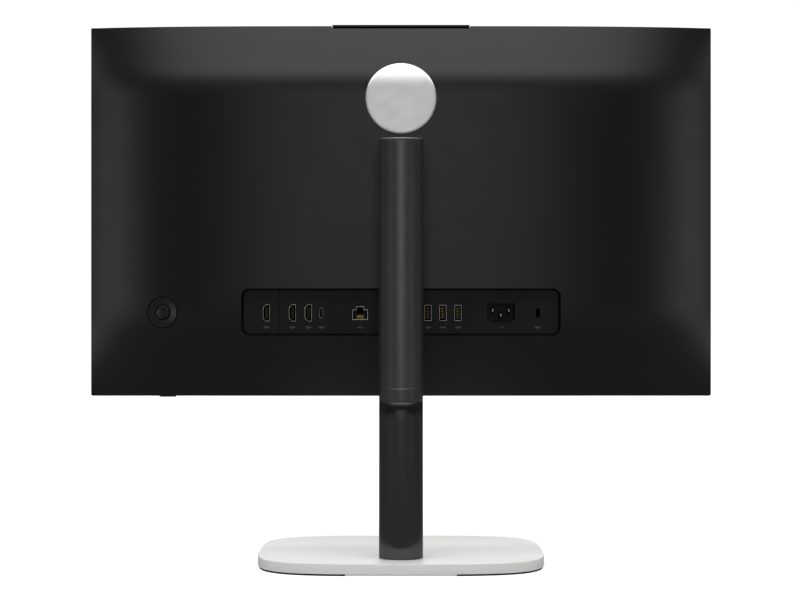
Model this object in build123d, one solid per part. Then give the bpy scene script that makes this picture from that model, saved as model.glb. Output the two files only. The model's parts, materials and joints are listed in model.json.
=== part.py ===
from build123d import *
import math
import os

# All-in-one desktop computer on a height-adjusting column stand.
# Millimetres, +Z up, +X to the right of someone facing the screen, screen facing -Y.
# The origin is on the desk under the middle of the base.

# ---------------------------------------------------------------- driving sizes
BASE_WIDTH = 240.5
BASE_DEPTH = 204.0
BASE_SQUARENESS = 4.0
FOOT_THICK = 1.5
BASE_TOP = 10.0
BASE_SKIN = 4.0
BASE_RIM = 6.0
BASE_EDGE = 0.8
FOOT_GAP_X = 45.2
FOOT_GAP_Y = 32.0

HEAD_WIDTH = 540.0
HEAD_HEIGHT = 320.3
HEAD_DEPTH = 45.0
HEAD_BOTTOM = 139.5
CROWN_Y = 2.0
BEZEL_DEPTH = 10.0
SCREEN_BORDER = 6.5
SCREEN_CHIN = 17.3
COVER_WALL = 2.2
COVER_INSET = 0.4
CORNER = 2.0

COLUMN_RADIUS = 18.2
COLUMN_WALL = 2.0
NECK_GAP = 40.2
COLLAR_BOTTOM = 139.2
COLLAR_TOP = 150.2
COLUMN_RISE = 56.65
TRAVEL = 110.0

RECESS_WIDTH = 273.9
RECESS_HEIGHT = 40.4
RECESS_DROP = 86.95
RECESS_DEPTH = 9.0
PORT_DROP = 87.75
BADGE_RADIUS = 30.3
BADGE_RISE = 96.0

# running clearance of every shaft in its bore, and the gap kept between moving bodies
FIT = 0.05
GAP = 0.5
BOARD_CLEARANCE = 0.4

# ---------------------------------------------------------------- worked-out positions
HEAD_HALF = HEAD_WIDTH / 2
HEAD_TOP = HEAD_BOTTOM + HEAD_HEIGHT
HEAD_MID = HEAD_BOTTOM + HEAD_HEIGHT / 2
GLASS_Y = CROWN_Y - HEAD_DEPTH
SEAM_Y = GLASS_Y + BEZEL_DEPTH
COVER_EDGE_Y = SEAM_Y + 2.0
CROWN_RISE = CROWN_Y - COVER_EDGE_Y
SCREEN_WIDTH = HEAD_WIDTH - 2 * SCREEN_BORDER
SCREEN_HEIGHT = HEAD_HEIGHT - SCREEN_BORDER - SCREEN_CHIN
SCREEN_MID = HEAD_TOP - SCREEN_BORDER - SCREEN_HEIGHT / 2

LCD_FRONT = GLASS_Y + 1.2
LCD_BACK = LCD_FRONT + 2.0
BACKLIGHT_BACK = LCD_BACK + 5.2
CHASSIS_BACK = BACKLIGHT_BACK + 1.2
BOARD_FRONT = CHASSIS_BACK + 6.4
BOARD_BACK = BOARD_FRONT + 1.6

COLUMN_Y = CROWN_Y + NECK_GAP + COLUMN_RADIUS
COLUMN_BORE = COLUMN_RADIUS - COLUMN_WALL
HINGE_Y = CROWN_Y + 12.0
HINGE_Z = HEAD_MID
COLUMN_TOP = HINGE_Z + COLUMN_RISE

PANEL_Y = CROWN_Y - RECESS_DEPTH
RECESS_Z = HEAD_MID - RECESS_DROP
PORT_Z = HEAD_MID - PORT_DROP
SOCKET_LIP = PANEL_Y + 0.3

# the back skin falls away in a straight slope above and below a flat middle
TOP_SLOPE_RUN = 61.15
TOP_BREAK = HEAD_HEIGHT / 2 - TOP_SLOPE_RUN
TOP_BLEND = 21.0
TOP_SLOPE = 0.352
BOTTOM_SLOPE_RUN = 80.15
BOTTOM_BREAK = HEAD_HEIGHT / 2 - BOTTOM_SLOPE_RUN
BOTTOM_BLEND = 27.0
BOTTOM_SLOPE = 0.376
CROWN_POWER = 4

# ports along the recess, as distances from its middle
MODULE_SEAM_X = 104.8
MODULE_VIDEO_X = 115.6
VIDEO_XS = (93.3, 79.6)
USB_C_X = 68.4
NETWORK_X = 35.1
USB_A_XS = (-23.2, -36.0, -48.9)
INLET_X = -85.9
LOCK_X = -117.6
VENT_PITCH = 4.0
VENT_LENGTH = 2.8

# controls near one side of the back
STICK_X = HEAD_HALF - 64.7
STICK_Z = HEAD_MID - 87.45
STICK_YAW = 13.0
STICK_RING = 13.6
STICK_GROOVE = 0.6
STICK_HOLE = 6.6
STICK_NUB = 5.9
STICK_PIVOT_DEPTH = 7.0
STICK_STEM = 2.0
STICK_FRAME_DEPTH = 16.0
DISH_SPHERE = 60.0
NUB_SPHERE = 30.0
SWITCH_BOARD_FRONT = SEAM_Y + 3.6
SWITCH_BOARD_BACK = SWITCH_BOARD_FRONT + 1.6
BUTTON_X = HEAD_HALF - 67.3
BUTTON_WIDTH = 14.1
BUTTON_DEPTH = 4.0
BUTTON_Y = SEAM_Y + 2.7

# pop-up camera in the top edge
CAMERA_WIDTH = 118.6
CAMERA_FRONT = SEAM_Y + 1.8
CAMERA_BACK = SEAM_Y + 12.6
CAMERA_TOP = HEAD_TOP + 1.0
CAMERA_HEIGHT = 30.8

# cooling fan
FAN_X = HEAD_HALF - 90.0
FAN_Z = HEAD_MID + 5.0
FAN_HALF = 34.0
FAN_BACK = SEAM_Y + 16.0


# ---------------------------------------------------------------- shared helpers
def block(x0, x1, y0, y1, z0, z1):
    """Box between two opposite corners."""
    middle = Pos((x0 + x1) / 2, (y0 + y1) / 2, (z0 + z1) / 2)
    return middle * Box(x1 - x0, y1 - y0, z1 - z0)


def rod_x(y, z, x0, x1, radius):
    """Round bar along X."""
    return Pos((x0 + x1) / 2, y, z) * Rot(0, 90, 0) * Cylinder(radius, x1 - x0)


def rod_y(x, z, y0, y1, radius):
    """Round bar along Y."""
    return Pos(x, (y0 + y1) / 2, z) * Rot(90, 0, 0) * Cylinder(radius, y1 - y0)


def rod_z(x, y, z0, z1, radius):
    """Round bar along Z."""
    return Pos(x, y, (z0 + z1) / 2) * Cylinder(radius, z1 - z0)


def prism_y(sketch, y0, y1, x=0.0, z=0.0):
    """Sketch drawn in X and Z, made solid from y0 to y1."""
    plane = Plane(origin=(x, y1, z), x_dir=(1, 0, 0), z_dir=(0, -1, 0))
    return extrude(plane * sketch, y1 - y0)


def prism_x(points, x0, x1):
    """Polygon of (y, z) points, made solid from x0 to x1."""
    outline = Polyline(*[(x0, y, z) for y, z in points], close=True)
    return extrude(make_face(outline), x1 - x0, dir=(1, 0, 0))


def rounded_plate(width, height, radius, y0, y1, x=0.0, z=0.0):
    """Upright rectangular plate with rounded corners."""
    return prism_y(RectangleRounded(width, height, radius), y0, y1, x, z)


def tube_z(y, z0, z1, outer, inner):
    """Upright tube on the middle plane."""
    return rod_z(0, y, z0, z1, outer) - rod_z(0, y, z0, z1, inner)


def join(solids):
    """Add up a list of solids."""
    total = solids[0]
    for solid in solids[1:]:
        total = total + solid
    return total


# ---------------------------------------------------------------- back skin shape
def eased(distance, blend):
    """Zero below the break, then a curve over the blend length into a straight line."""
    if distance <= 0:
        return 0.0
    if distance < blend:
        return distance ** 2 / (2 * blend)
    return distance - blend / 2


def skin_y(x, z):
    """Y of the back skin's outer face at x across and z up."""
    across = 1 - abs(x / HEAD_HALF) ** CROWN_POWER
    drop_top = TOP_SLOPE * eased(z - HEAD_MID - TOP_BREAK, TOP_BLEND)
    drop_bottom = BOTTOM_SLOPE * eased(HEAD_MID - BOTTOM_BREAK - z, BOTTOM_BLEND)
    return COVER_EDGE_Y + (CROWN_RISE - drop_top - drop_bottom) * across


def under_skin(offset):
    """Solid that fills everything in front of the back skin moved by offset along Y."""
    across_steps = 32
    up_steps = 44
    rows = []
    for i in range(across_steps + 1):
        x = (HEAD_HALF + 8) * (2 * i / across_steps - 1)
        row = []
        for j in range(up_steps + 1):
            z = HEAD_MID + (HEAD_HEIGHT / 2 + 8) * (2 * j / up_steps - 1)
            row.append((x, skin_y(x, z) + offset, z))
        rows.append(row)
    face = Face.make_surface_from_array_of_points(rows, tol=0.02)
    return Part() + Solid.extrude(face, Vector(0, -60, 0))


SKIN = under_skin(0)
INNER_SKIN = under_skin(-COVER_WALL)


# ---------------------------------------------------------------- base
def squircle(width, depth):
    """Outline between an ellipse and a rectangle, centred on the origin."""
    steps = 48
    points = []
    for i in range(steps):
        angle = 2 * math.pi * i / steps
        along = abs(math.cos(angle) * 2 / width) ** BASE_SQUARENESS
        across = abs(math.sin(angle) * 2 / depth) ** BASE_SQUARENESS
        radius = (along + across) ** (-1 / BASE_SQUARENESS)
        points.append((radius * math.cos(angle), radius * math.sin(angle)))
    return make_face(Spline(*points, periodic=True))


def squircle_slab(inset, z0, z1):
    """Slab with the base outline drawn in by inset."""
    outline = squircle(BASE_WIDTH - 2 * inset, BASE_DEPTH - 2 * inset)
    return Pos(0, 0, z0) * extrude(outline, z1 - z0)


WEIGHT_BOTTOM = FOOT_THICK + 0.7
WEIGHT_TOP = BASE_TOP - BASE_SKIN
BUSH_RADIUS = COLUMN_BORE - 2.2
SPINDLE_RADIUS = 10.0


def base_plate():
    """Cast base with a pocket underneath for the weight."""
    plate = squircle_slab(0, FOOT_THICK, BASE_TOP)
    plate = fillet(plate.edges().group_by(Axis.Z)[-1], BASE_EDGE)
    plate = plate - squircle_slab(BASE_RIM, FOOT_THICK, WEIGHT_TOP)
    return plate - rod_z(0, COLUMN_Y, WEIGHT_TOP, BASE_TOP, BUSH_RADIUS)


def base_weight():
    """Steel plate bonded up into the base."""
    weight = squircle_slab(BASE_RIM + 0.3, WEIGHT_BOTTOM, WEIGHT_TOP)
    return weight - rod_z(0, COLUMN_Y, WEIGHT_BOTTOM, WEIGHT_TOP, 24)


def rubber_feet():
    """Four rubber strips under the rounded corners."""
    ring = squircle_slab(1.0, 0, FOOT_THICK) - squircle_slab(5.0, 0, FOOT_THICK)
    ring = ring - block(-FOOT_GAP_X, FOOT_GAP_X, -BASE_DEPTH, BASE_DEPTH, 0, FOOT_THICK)
    return ring - block(-BASE_WIDTH, BASE_WIDTH, -FOOT_GAP_Y, FOOT_GAP_Y, 0, FOOT_THICK)


def swivel_bush():
    """Flanged plastic bush in the base that the spindle turns in."""
    bush = rod_z(0, COLUMN_Y, WEIGHT_TOP - 2, WEIGHT_TOP, BUSH_RADIUS + 4)
    bush = bush + rod_z(0, COLUMN_Y, WEIGHT_TOP, BASE_TOP, BUSH_RADIUS)
    return bush - rod_z(0, COLUMN_Y, WEIGHT_TOP - 2, BASE_TOP, SPINDLE_RADIUS)


THRUST_TOP = BASE_TOP + 0.6


def thrust_washer():
    """Slippery washer that the mast's foot turns on."""
    return tube_z(COLUMN_Y, BASE_TOP, THRUST_TOP, COLUMN_BORE - 0.4, SPINDLE_RADIUS + 0.3)


# ---------------------------------------------------------------- column
MAST_DISC_TOP = COLLAR_TOP + 1.8
MAST_RADIUS = COLUMN_BORE - 3.2
MAST_WALL = 2.5
SHELL_BOTTOM = COLLAR_TOP + 0.6
CAP_BOTTOM = COLUMN_TOP - 2.8
PLUG_BOTTOM = CAP_BOTTOM - 3.5
ROD_RADIUS = 2.0
ROD_X = COLUMN_BORE - ROD_RADIUS - 2.2
ROD_Y = COLUMN_Y + 1.0
BACK_PLATE_BACK = COLUMN_Y + COLUMN_BORE - 4.2
BACK_PLATE_FRONT = BACK_PLATE_BACK - 2.5
BACK_PLATE_HALF = COLUMN_BORE - 6.2
LUG_OUTER_X = ROD_X - ROD_RADIUS - 1.4
LUG_INNER_X = LUG_OUTER_X - 1.6
AXLE_HALF = LUG_OUTER_X + 0.4
DRUM_Z = HINGE_Z + 38.5
DRUM_HALF = LUG_INNER_X - 0.6
COIL_OUTER = BACK_PLATE_FRONT - ROD_Y - 0.5
DRUM_CORE = COIL_OUTER - 1.55
AXLE_RADIUS = 2.0


def mast():
    """Steel tube with a spindle and foot below, and a back plate for the lift above."""
    spindle = rod_z(0, COLUMN_Y, FOOT_THICK + 0.3, THRUST_TOP + FIT, SPINDLE_RADIUS - FIT)
    foot = rod_z(0, COLUMN_Y, THRUST_TOP + FIT, THRUST_TOP + 5.4, COLUMN_BORE)
    tube = rod_z(0, COLUMN_Y, THRUST_TOP + 5.4, COLLAR_TOP - 4, MAST_RADIUS)
    tube = tube - rod_z(0, COLUMN_Y, THRUST_TOP + 5.4, COLLAR_TOP - 4, MAST_RADIUS - MAST_WALL)
    disc = rod_z(0, COLUMN_Y, COLLAR_TOP - 4, MAST_DISC_TOP, COLUMN_BORE)
    back = block(
        -BACK_PLATE_HALF, BACK_PLATE_HALF, BACK_PLATE_FRONT, BACK_PLATE_BACK,
        MAST_DISC_TOP, PLUG_BOTTOM,
    )
    whole = spindle + foot + tube + disc + back
    for side in (-1, 1):
        lug_x = sorted((side * LUG_INNER_X, side * LUG_OUTER_X))
        lug = block(*lug_x, COLUMN_Y - 3, BACK_PLATE_FRONT, DRUM_Z - 6, DRUM_Z + 6)
        rod_hole = rod_z(side * ROD_X, ROD_Y, COLLAR_TOP, MAST_DISC_TOP, ROD_RADIUS)
        whole = whole + lug - rod_hole
    return whole - rod_x(ROD_Y, DRUM_Z, -AXLE_HALF, AXLE_HALF, AXLE_RADIUS)


def spindle_nut():
    """Ring nut that holds the spindle in the base."""
    return tube_z(COLUMN_Y, FOOT_THICK + 0.3, WEIGHT_TOP - 2 - FIT, 17.0, SPINDLE_RADIUS - FIT)


def lower_column_shell():
    """Lower tube of the column."""
    return tube_z(COLUMN_Y, BASE_TOP + 0.4, COLLAR_BOTTOM, COLUMN_RADIUS, COLUMN_BORE)


def column_collar():
    """Glossy ring between the two tubes."""
    return tube_z(COLUMN_Y, COLLAR_BOTTOM, COLLAR_TOP, COLUMN_RADIUS, COLUMN_BORE)


def upper_column_shell():
    """Upper tube with a slot at the front for the neck to travel in."""
    shell = tube_z(COLUMN_Y, SHELL_BOTTOM, CAP_BOTTOM, COLUMN_RADIUS, COLUMN_BORE)
    slot_bottom = HINGE_Z - TRAVEL - 18
    slot_top = HINGE_Z + 20
    return shell - block(-10.5, 10.5, COLUMN_Y - 30, COLUMN_Y - 8, slot_bottom, slot_top)


def column_top_cap():
    """Round cap pushed into the top of the column."""
    cap = rod_z(0, COLUMN_Y, CAP_BOTTOM, COLUMN_TOP, COLUMN_RADIUS)
    cap = fillet(cap.edges().group_by(Axis.Z)[-1], 1.4)
    cap = cap + rod_z(0, COLUMN_Y, PLUG_BOTTOM, CAP_BOTTOM, COLUMN_BORE)
    for side in (-1, 1):
        cap = cap - rod_z(side * ROD_X, ROD_Y, PLUG_BOTTOM, PLUG_BOTTOM + 2, ROD_RADIUS)
    return cap


def guide_rods():
    """Two polished rods that the carriage slides on."""
    rods = []
    for side in (-1, 1):
        rods.append(rod_z(side * ROD_X, ROD_Y, COLLAR_TOP, PLUG_BOTTOM + 2, ROD_RADIUS))
    return join(rods)


def spring_axle():
    """Pin that carries the spring drum."""
    return rod_x(ROD_Y, DRUM_Z, -AXLE_HALF, AXLE_HALF, AXLE_RADIUS)


def lift_spring_drum():
    """Drum that the lift spring is wound on."""
    drum = rod_x(ROD_Y, DRUM_Z, -DRUM_HALF, DRUM_HALF, DRUM_CORE)
    for side in (-1, 1):
        flange_x = sorted((side * (DRUM_HALF - 1), side * DRUM_HALF))
        drum = drum + rod_x(ROD_Y, DRUM_Z, *flange_x, COIL_OUTER + 0.3)
    return drum - rod_x(ROD_Y, DRUM_Z, -DRUM_HALF, DRUM_HALF, AXLE_RADIUS + FIT)


def lift_spring_strip():
    """Coiled steel strip with its tail hooked to the carriage."""
    half = DRUM_HALF - 1.1
    coil = rod_x(ROD_Y, DRUM_Z, -half, half, COIL_OUTER)
    coil = coil - rod_x(ROD_Y, DRUM_Z, -half, half, DRUM_CORE + FIT)
    tail_y = ROD_Y - COIL_OUTER
    return coil + block(-half, half, tail_y, tail_y + 0.4, HINGE_Z + 25, DRUM_Z)


# ---------------------------------------------------------------- carriage and neck
CARRIAGE_HALF = 25.0
ARM_HALF = 9.0
ARM_RISE = 13.0
ARM_BACK = CROWN_Y + 38.5
BARREL_RADIUS = 8.4
PIN_RADIUS = 4.0
WASHER_X = ARM_HALF + FIT
LUG_X = ARM_HALF + 0.6
LUG_THICK = 5.0
LUG_RADIUS = 9.0


def carriage():
    """Block that slides on the guide rods, with a tongue through the slot."""
    low = HINGE_Z - CARRIAGE_HALF
    high = HINGE_Z + CARRIAGE_HALF
    body = rod_z(0, COLUMN_Y, low, high, COLUMN_BORE - GAP)
    body = body & block(-20, 20, COLUMN_Y - 20, COLUMN_Y + 7, low, high)
    tongue_z = (HINGE_Z - ARM_RISE, HINGE_Z + ARM_RISE)
    body = body + block(-ARM_HALF, ARM_HALF, ARM_BACK, COLUMN_Y - 10, *tongue_z)
    for side in (-1, 1):
        body = body - rod_z(side * ROD_X, ROD_Y, low, high, ROD_RADIUS + 1)
    return body


def carriage_bushes():
    """Two plastic sleeves between the carriage and its rods."""
    bushes = []
    for side in (-1, 1):
        low = HINGE_Z - CARRIAGE_HALF
        high = HINGE_Z + CARRIAGE_HALF
        sleeve = rod_z(side * ROD_X, ROD_Y, low, high, ROD_RADIUS + 1)
        bushes.append(sleeve - rod_z(side * ROD_X, ROD_Y, low, high, ROD_RADIUS + FIT))
    return join(bushes)


def neck_arm():
    """Steel arm from the carriage to the hinge barrel."""
    profile = [
        (HINGE_Y, HINGE_Z + BARREL_RADIUS),
        (ARM_BACK - 6, HINGE_Z + ARM_RISE),
        (ARM_BACK, HINGE_Z + ARM_RISE),
        (ARM_BACK, HINGE_Z - ARM_RISE),
        (ARM_BACK - 6, HINGE_Z - ARM_RISE),
        (HINGE_Y, HINGE_Z - BARREL_RADIUS),
    ]
    arm = prism_x(profile, -ARM_HALF, ARM_HALF)
    arm = arm + rod_x(HINGE_Y, HINGE_Z, -ARM_HALF, ARM_HALF, BARREL_RADIUS)
    return arm - rod_x(HINGE_Y, HINGE_Z, -ARM_HALF, ARM_HALF, PIN_RADIUS + FIT)


def neck_cover():
    """Plastic sleeve around the arm, shaped to the column."""
    front = HINGE_Y + LUG_RADIUS + 1
    back = COLUMN_Y - 10
    outer = block(-15, 15, front, back, HINGE_Z - 17.5, HINGE_Z + 17.5)
    outer = fillet(outer.edges().filter_by(Axis.Y), 4)
    inner = block(-13, 13, front, back, HINGE_Z - 15.5, HINGE_Z + 15.5)
    cover = outer - inner
    for side in (-1, 1):
        rib_x = sorted((side * ARM_HALF, side * 13.5))
        cover = cover + block(*rib_x, front + 4, front + 8, HINGE_Z - 5, HINGE_Z + 5)
    return cover - rod_z(0, COLUMN_Y, HINGE_Z - 20, HINGE_Z + 20, COLUMN_RADIUS + GAP)


# ---------------------------------------------------------------- tilt hinge on the head
PLATE_FRONT = CROWN_Y - 0.5
PLATE_BACK = CROWN_Y + 3.0
PLATE_HALF_X = 17.0
PLATE_HALF_Z = 44.0
PILLAR_X = 11.0
PILLAR_RISE = 36.0


def pillar_spots():
    """Where the four mount pillars and their screws are."""
    spots = []
    for x in (-PILLAR_X, PILLAR_X):
        for rise in (-PILLAR_RISE, PILLAR_RISE):
            spots.append((x, HINGE_Z + rise))
    return spots


def tilt_bracket():
    """Mount plate with two lugs for the hinge pin."""
    bracket = rounded_plate(
        2 * PLATE_HALF_X, 2 * PLATE_HALF_Z, 4, PLATE_FRONT, PLATE_BACK, z=HINGE_Z
    )
    for side in (-1, 1):
        lug_x = sorted((side * LUG_X, side * (LUG_X + LUG_THICK)))
        web = [
            (PLATE_BACK - 1, HINGE_Z + 12),
            (HINGE_Y, HINGE_Z + LUG_RADIUS),
            (HINGE_Y, HINGE_Z - LUG_RADIUS),
            (PLATE_BACK - 1, HINGE_Z - 12),
        ]
        bracket = bracket + prism_x(web, *lug_x)
        bracket = bracket + rod_x(HINGE_Y, HINGE_Z, *lug_x, LUG_RADIUS)
    bracket = bracket - rod_x(HINGE_Y, HINGE_Z, -20, 20, PIN_RADIUS)
    for x, z in pillar_spots():
        bracket = bracket - rod_y(x, z, PLATE_FRONT, PLATE_BACK, 2.0)
        bracket = bracket - rod_y(x, z, PLATE_BACK - 2, PLATE_BACK, 3.5)
    return bracket


def hinge_pin():
    """Steel pin with a head on each end."""
    reach = LUG_X + LUG_THICK
    pin = rod_x(HINGE_Y, HINGE_Z, -reach, reach, PIN_RADIUS)
    for side in (-1, 1):
        head_x = sorted((side * reach, side * (reach + 1.8)))
        pin = pin + rod_x(HINGE_Y, HINGE_Z, *head_x, 6.0)
    return pin


def friction_washers():
    """Two washers squeezed between the lugs and the barrel."""
    washers = []
    for side in (-1, 1):
        ring_x = sorted((side * WASHER_X, side * LUG_X))
        ring = rod_x(HINGE_Y, HINGE_Z, *ring_x, 8.0)
        washers.append(ring - rod_x(HINGE_Y, HINGE_Z, *ring_x, PIN_RADIUS))
    return join(washers)


def mount_pillars():
    """Four threaded posts from the chassis to the mount plate."""
    pillars = []
    for x, z in pillar_spots():
        pillar = rod_y(x, z, CHASSIS_BACK, PLATE_FRONT, 4.5)
        pillars.append(pillar - rod_y(x, z, PLATE_FRONT - 12, PLATE_FRONT, 2.0))
    return join(pillars)


def mount_screws():
    """Four screws through the mount plate."""
    screws = []
    for x, z in pillar_spots():
        shank = rod_y(x, z, PLATE_FRONT - 12, PLATE_BACK - 2, 2.0)
        head = rod_y(x, z, PLATE_BACK - 2, PLATE_BACK, 3.5)
        socket = rod_y(x, z, PLATE_BACK - 1.2, PLATE_BACK, 1.4)
        screws.append(shank + head - socket)
    return join(screws)


# ---------------------------------------------------------------- screen and chassis
POCKET_HALF = HEAD_HALF - 2.8
POCKET_BOTTOM = HEAD_BOTTOM + 4.0
POCKET_TOP = HEAD_TOP - 2.8
LEAF_HALF = POCKET_HALF - 0.3
LEAF_BOTTOM = POCKET_BOTTOM + 0.3
LEAF_TOP = POCKET_TOP - 0.3


def front_bezel():
    """Black frame around the screen."""
    frame = rounded_plate(HEAD_WIDTH, HEAD_HEIGHT, CORNER, GLASS_Y, SEAM_Y, z=HEAD_MID)
    frame = frame - block(-POCKET_HALF, POCKET_HALF, LCD_FRONT, SEAM_Y, POCKET_BOTTOM, POCKET_TOP)
    window = Rectangle(SCREEN_WIDTH, SCREEN_HEIGHT)
    return frame - prism_y(window, GLASS_Y, LCD_FRONT, z=SCREEN_MID)


def lcd_panel():
    """Glass sandwich of the screen."""
    low = SCREEN_MID - SCREEN_HEIGHT / 2 - 3
    return block(-LEAF_HALF, LEAF_HALF, LCD_FRONT, LCD_BACK, low, LEAF_TOP)


def backlight_unit():
    """Light guide and its metal tray behind the glass."""
    low = SCREEN_MID - SCREEN_HEIGHT / 2 - 6
    tray = block(-LEAF_HALF, LEAF_HALF, LCD_BACK, BACKLIGHT_BACK, low, LEAF_TOP)
    for rise in (-90, -30, 30, 90):
        rib = block(
            -LEAF_HALF + 20, LEAF_HALF - 20, BACKLIGHT_BACK - 1.0, BACKLIGHT_BACK,
            SCREEN_MID + rise - 4, SCREEN_MID + rise + 4,
        )
        tray = tray - rib
    return tray


def chassis():
    """Steel sheet that everything inside is fixed to."""
    sheet = block(-LEAF_HALF, LEAF_HALF, BACKLIGHT_BACK, CHASSIS_BACK, LEAF_BOTTOM, LEAF_TOP)
    for side in (-1, 1):
        for rise in (-70, 0, 70):
            window = RectangleRounded(56, 40, 6)
            spot = side * (HEAD_HALF - 50)
            sheet = sheet - prism_y(window, BACKLIGHT_BACK, CHASSIS_BACK, spot, HEAD_MID + rise + 40)
    for x, z in board_spots():
        sheet = sheet + rod_y(x, z, BACKLIGHT_BACK, BOARD_FRONT, 3.0)
        sheet = sheet + rod_y(x, z, BOARD_FRONT, BOARD_BACK, 1.5)
    return sheet


# ---------------------------------------------------------------- back cover
def cover_prism(inset, y0, y1):
    """Upright block with the back cover's outline drawn in by inset."""
    trim = 2 * (COVER_INSET + inset)
    radius = max(CORNER - COVER_INSET - inset, 0.6)
    return rounded_plate(HEAD_WIDTH - trim, HEAD_HEIGHT - trim, radius, y0, y1, z=HEAD_MID)


def stick_plane():
    """Plane tangent to the back skin at the control stick, facing outward."""
    yaw = math.radians(STICK_YAW)
    return Plane(
        origin=(STICK_X, skin_y(STICK_X, STICK_Z), STICK_Z),
        x_dir=(math.cos(yaw), -math.sin(yaw), 0),
        z_dir=(math.sin(yaw), math.cos(yaw), 0),
    )


def stick_rod(low, high, radius):
    """Round bar along the control stick's own axis."""
    return stick_plane() * Pos(0, 0, (low + high) / 2) * Cylinder(radius, high - low)


def recess_prism(y0, y1):
    """Rounded block the size of the port recess."""
    return rounded_plate(RECESS_WIDTH, RECESS_HEIGHT, 6.8, y0, y1, z=RECESS_Z)


def camera_slot():
    """Space in the cover for the camera and the finger notch behind it."""
    half = CAMERA_WIDTH / 2 + 0.4
    slot = block(-half, half, CAMERA_FRONT - 0.4, CAMERA_BACK + 0.4, HEAD_TOP - 12, HEAD_TOP + 1)
    return slot + block(-half, half, CAMERA_BACK, CROWN_Y, HEAD_TOP - 2.6, HEAD_TOP + 1)


def bottom_slots():
    """Intake and speaker slots through the bottom wall."""
    slots = []
    for side in (-1, 1):
        for i in range(12):
            x = side * (60 + i * 9)
            slots.append(block(x - 3, x + 3, SEAM_Y + 1.5, SEAM_Y + 3.0, HEAD_BOTTOM, HEAD_BOTTOM + 4))
    return join(slots)


def rear_cover():
    """Pillow-shaped back shell."""
    shell = SKIN & cover_prism(0, SEAM_Y, CROWN_Y + 1)
    hollow = INNER_SKIN & cover_prism(COVER_WALL, SEAM_Y - 1, CROWN_Y + 1)
    shell = shell - hollow
    shell = shell - recess_prism(SEAM_Y, CROWN_Y + 1)
    mount = rounded_plate(
        2 * PLATE_HALF_X + 0.6, 2 * PLATE_HALF_Z + 0.6, 4.3, SEAM_Y, CROWN_Y + 1, z=HINGE_Z
    )
    shell = shell - mount
    shell = shell - stick_rod(-6, 4, STICK_RING)
    half = BUTTON_WIDTH / 2 + 0.4
    shell = shell - block(
        BUTTON_X - half, BUTTON_X + half,
        BUTTON_Y - BUTTON_DEPTH / 2 - 0.3, BUTTON_Y + BUTTON_DEPTH / 2 + 0.3,
        HEAD_BOTTOM - 1, HEAD_BOTTOM + 4,
    )
    return shell - camera_slot() - bottom_slots()


def badge():
    """Plain polished disc that follows the back skin."""
    disc = rod_y(0, HEAD_MID + BADGE_RISE, CROWN_Y - 12, CROWN_Y + 2, BADGE_RADIUS)
    return (disc & under_skin(0.6)) - SKIN


# ---------------------------------------------------------------- port recess
def recess_rim():
    """Black sloping frame around the ports with a row of vents along its top."""
    rim = recess_prism(PANEL_Y, CROWN_Y + 1) & under_skin(-0.2)
    floor = RectangleRounded(RECESS_WIDTH - 3.6, RECESS_HEIGHT - 3.1, 5.2)
    plane = Plane(origin=(0, PANEL_Y, RECESS_Z), x_dir=(1, 0, 0), z_dir=(0, 1, 0))
    slope = math.degrees(math.atan(1.4 / RECESS_DEPTH))
    rim = rim - extrude(plane * floor, RECESS_DEPTH + 1, taper=-slope)
    count = int((RECESS_WIDTH - 20) / VENT_PITCH)
    vents = []
    for i in range(count):
        x = (i - (count - 1) / 2) * VENT_PITCH
        half = VENT_LENGTH / 2
        top = RECESS_Z + RECESS_HEIGHT / 2
        vents.append(block(x - half, x + half, PANEL_Y + 1.6, PANEL_Y + 7.2, top - 4, top + 1))
    return rim - join(vents)


def video_outline(grow):
    """Upright video socket outline, narrower on its outer side."""
    w = 3.4 + grow
    h = 7.8 + grow
    points = [(-w, -h), (-w, h), (0.6, h), (w, h - 2.6), (w, 2.6 - h), (0.6, -h)]
    return make_face(Polyline(*points, close=True))


def usb_a_outline(grow):
    """Upright rectangular USB socket outline."""
    return RectangleRounded(6.9 + 2 * grow, 14.3 + 2 * grow, 0.5 + max(grow, 0))


def usb_c_outline(grow):
    """Upright rounded USB socket outline."""
    width = 3.5 + 2 * grow
    return RectangleRounded(width, 9.3 + 2 * grow, width / 2 - 0.02)


def network_outline(grow):
    """Network socket outline with a narrower step on top for the plug's latch."""
    w = 7.05 + grow
    step_w = 3.85 + grow
    low = -6.1 - grow
    step = 3.2 + grow
    high = 5.95 + grow
    left = [(-w, low), (-w, step), (-step_w, step), (-step_w, high)]
    right = [(-x, z) for x, z in reversed(left)]
    return make_face(Polyline(*left, *right, close=True))


def inlet_outline(grow):
    """Power inlet body outline."""
    return RectangleRounded(30.9 + 2 * grow, 18.2 + 2 * grow, 2.2 + grow)


def inlet_cavity():
    """Power inlet cavity outline with its two lower corners cut off."""
    w = 11.85
    h = 8.2
    cut = 3.6
    points = [(-w, h), (w, h), (w, cut - h), (w - cut, -h), (cut - w, -h), (-w, cut - h)]
    return make_face(Polyline(*points, close=True))


def lock_outline(grow):
    """Upright lock slot."""
    return RectangleRounded(3.3 + 2 * grow, 7.4 + 2 * grow, 0.8 + grow)


def panel_cutouts():
    """Holes in the panels for every socket."""
    spots = [(video_outline, MODULE_VIDEO_X)]
    spots = spots + [(video_outline, x) for x in VIDEO_XS]
    spots = spots + [(usb_a_outline, x) for x in USB_A_XS]
    spots = spots + [(usb_c_outline, USB_C_X), (network_outline, NETWORK_X)]
    spots = spots + [(inlet_outline, INLET_X), (lock_outline, LOCK_X)]
    return join([prism_y(shape(0.1), PANEL_Y - 2, PANEL_Y + 1, x, PORT_Z) for shape, x in spots])


PANEL_FRONT = PANEL_Y - 1.5


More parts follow.
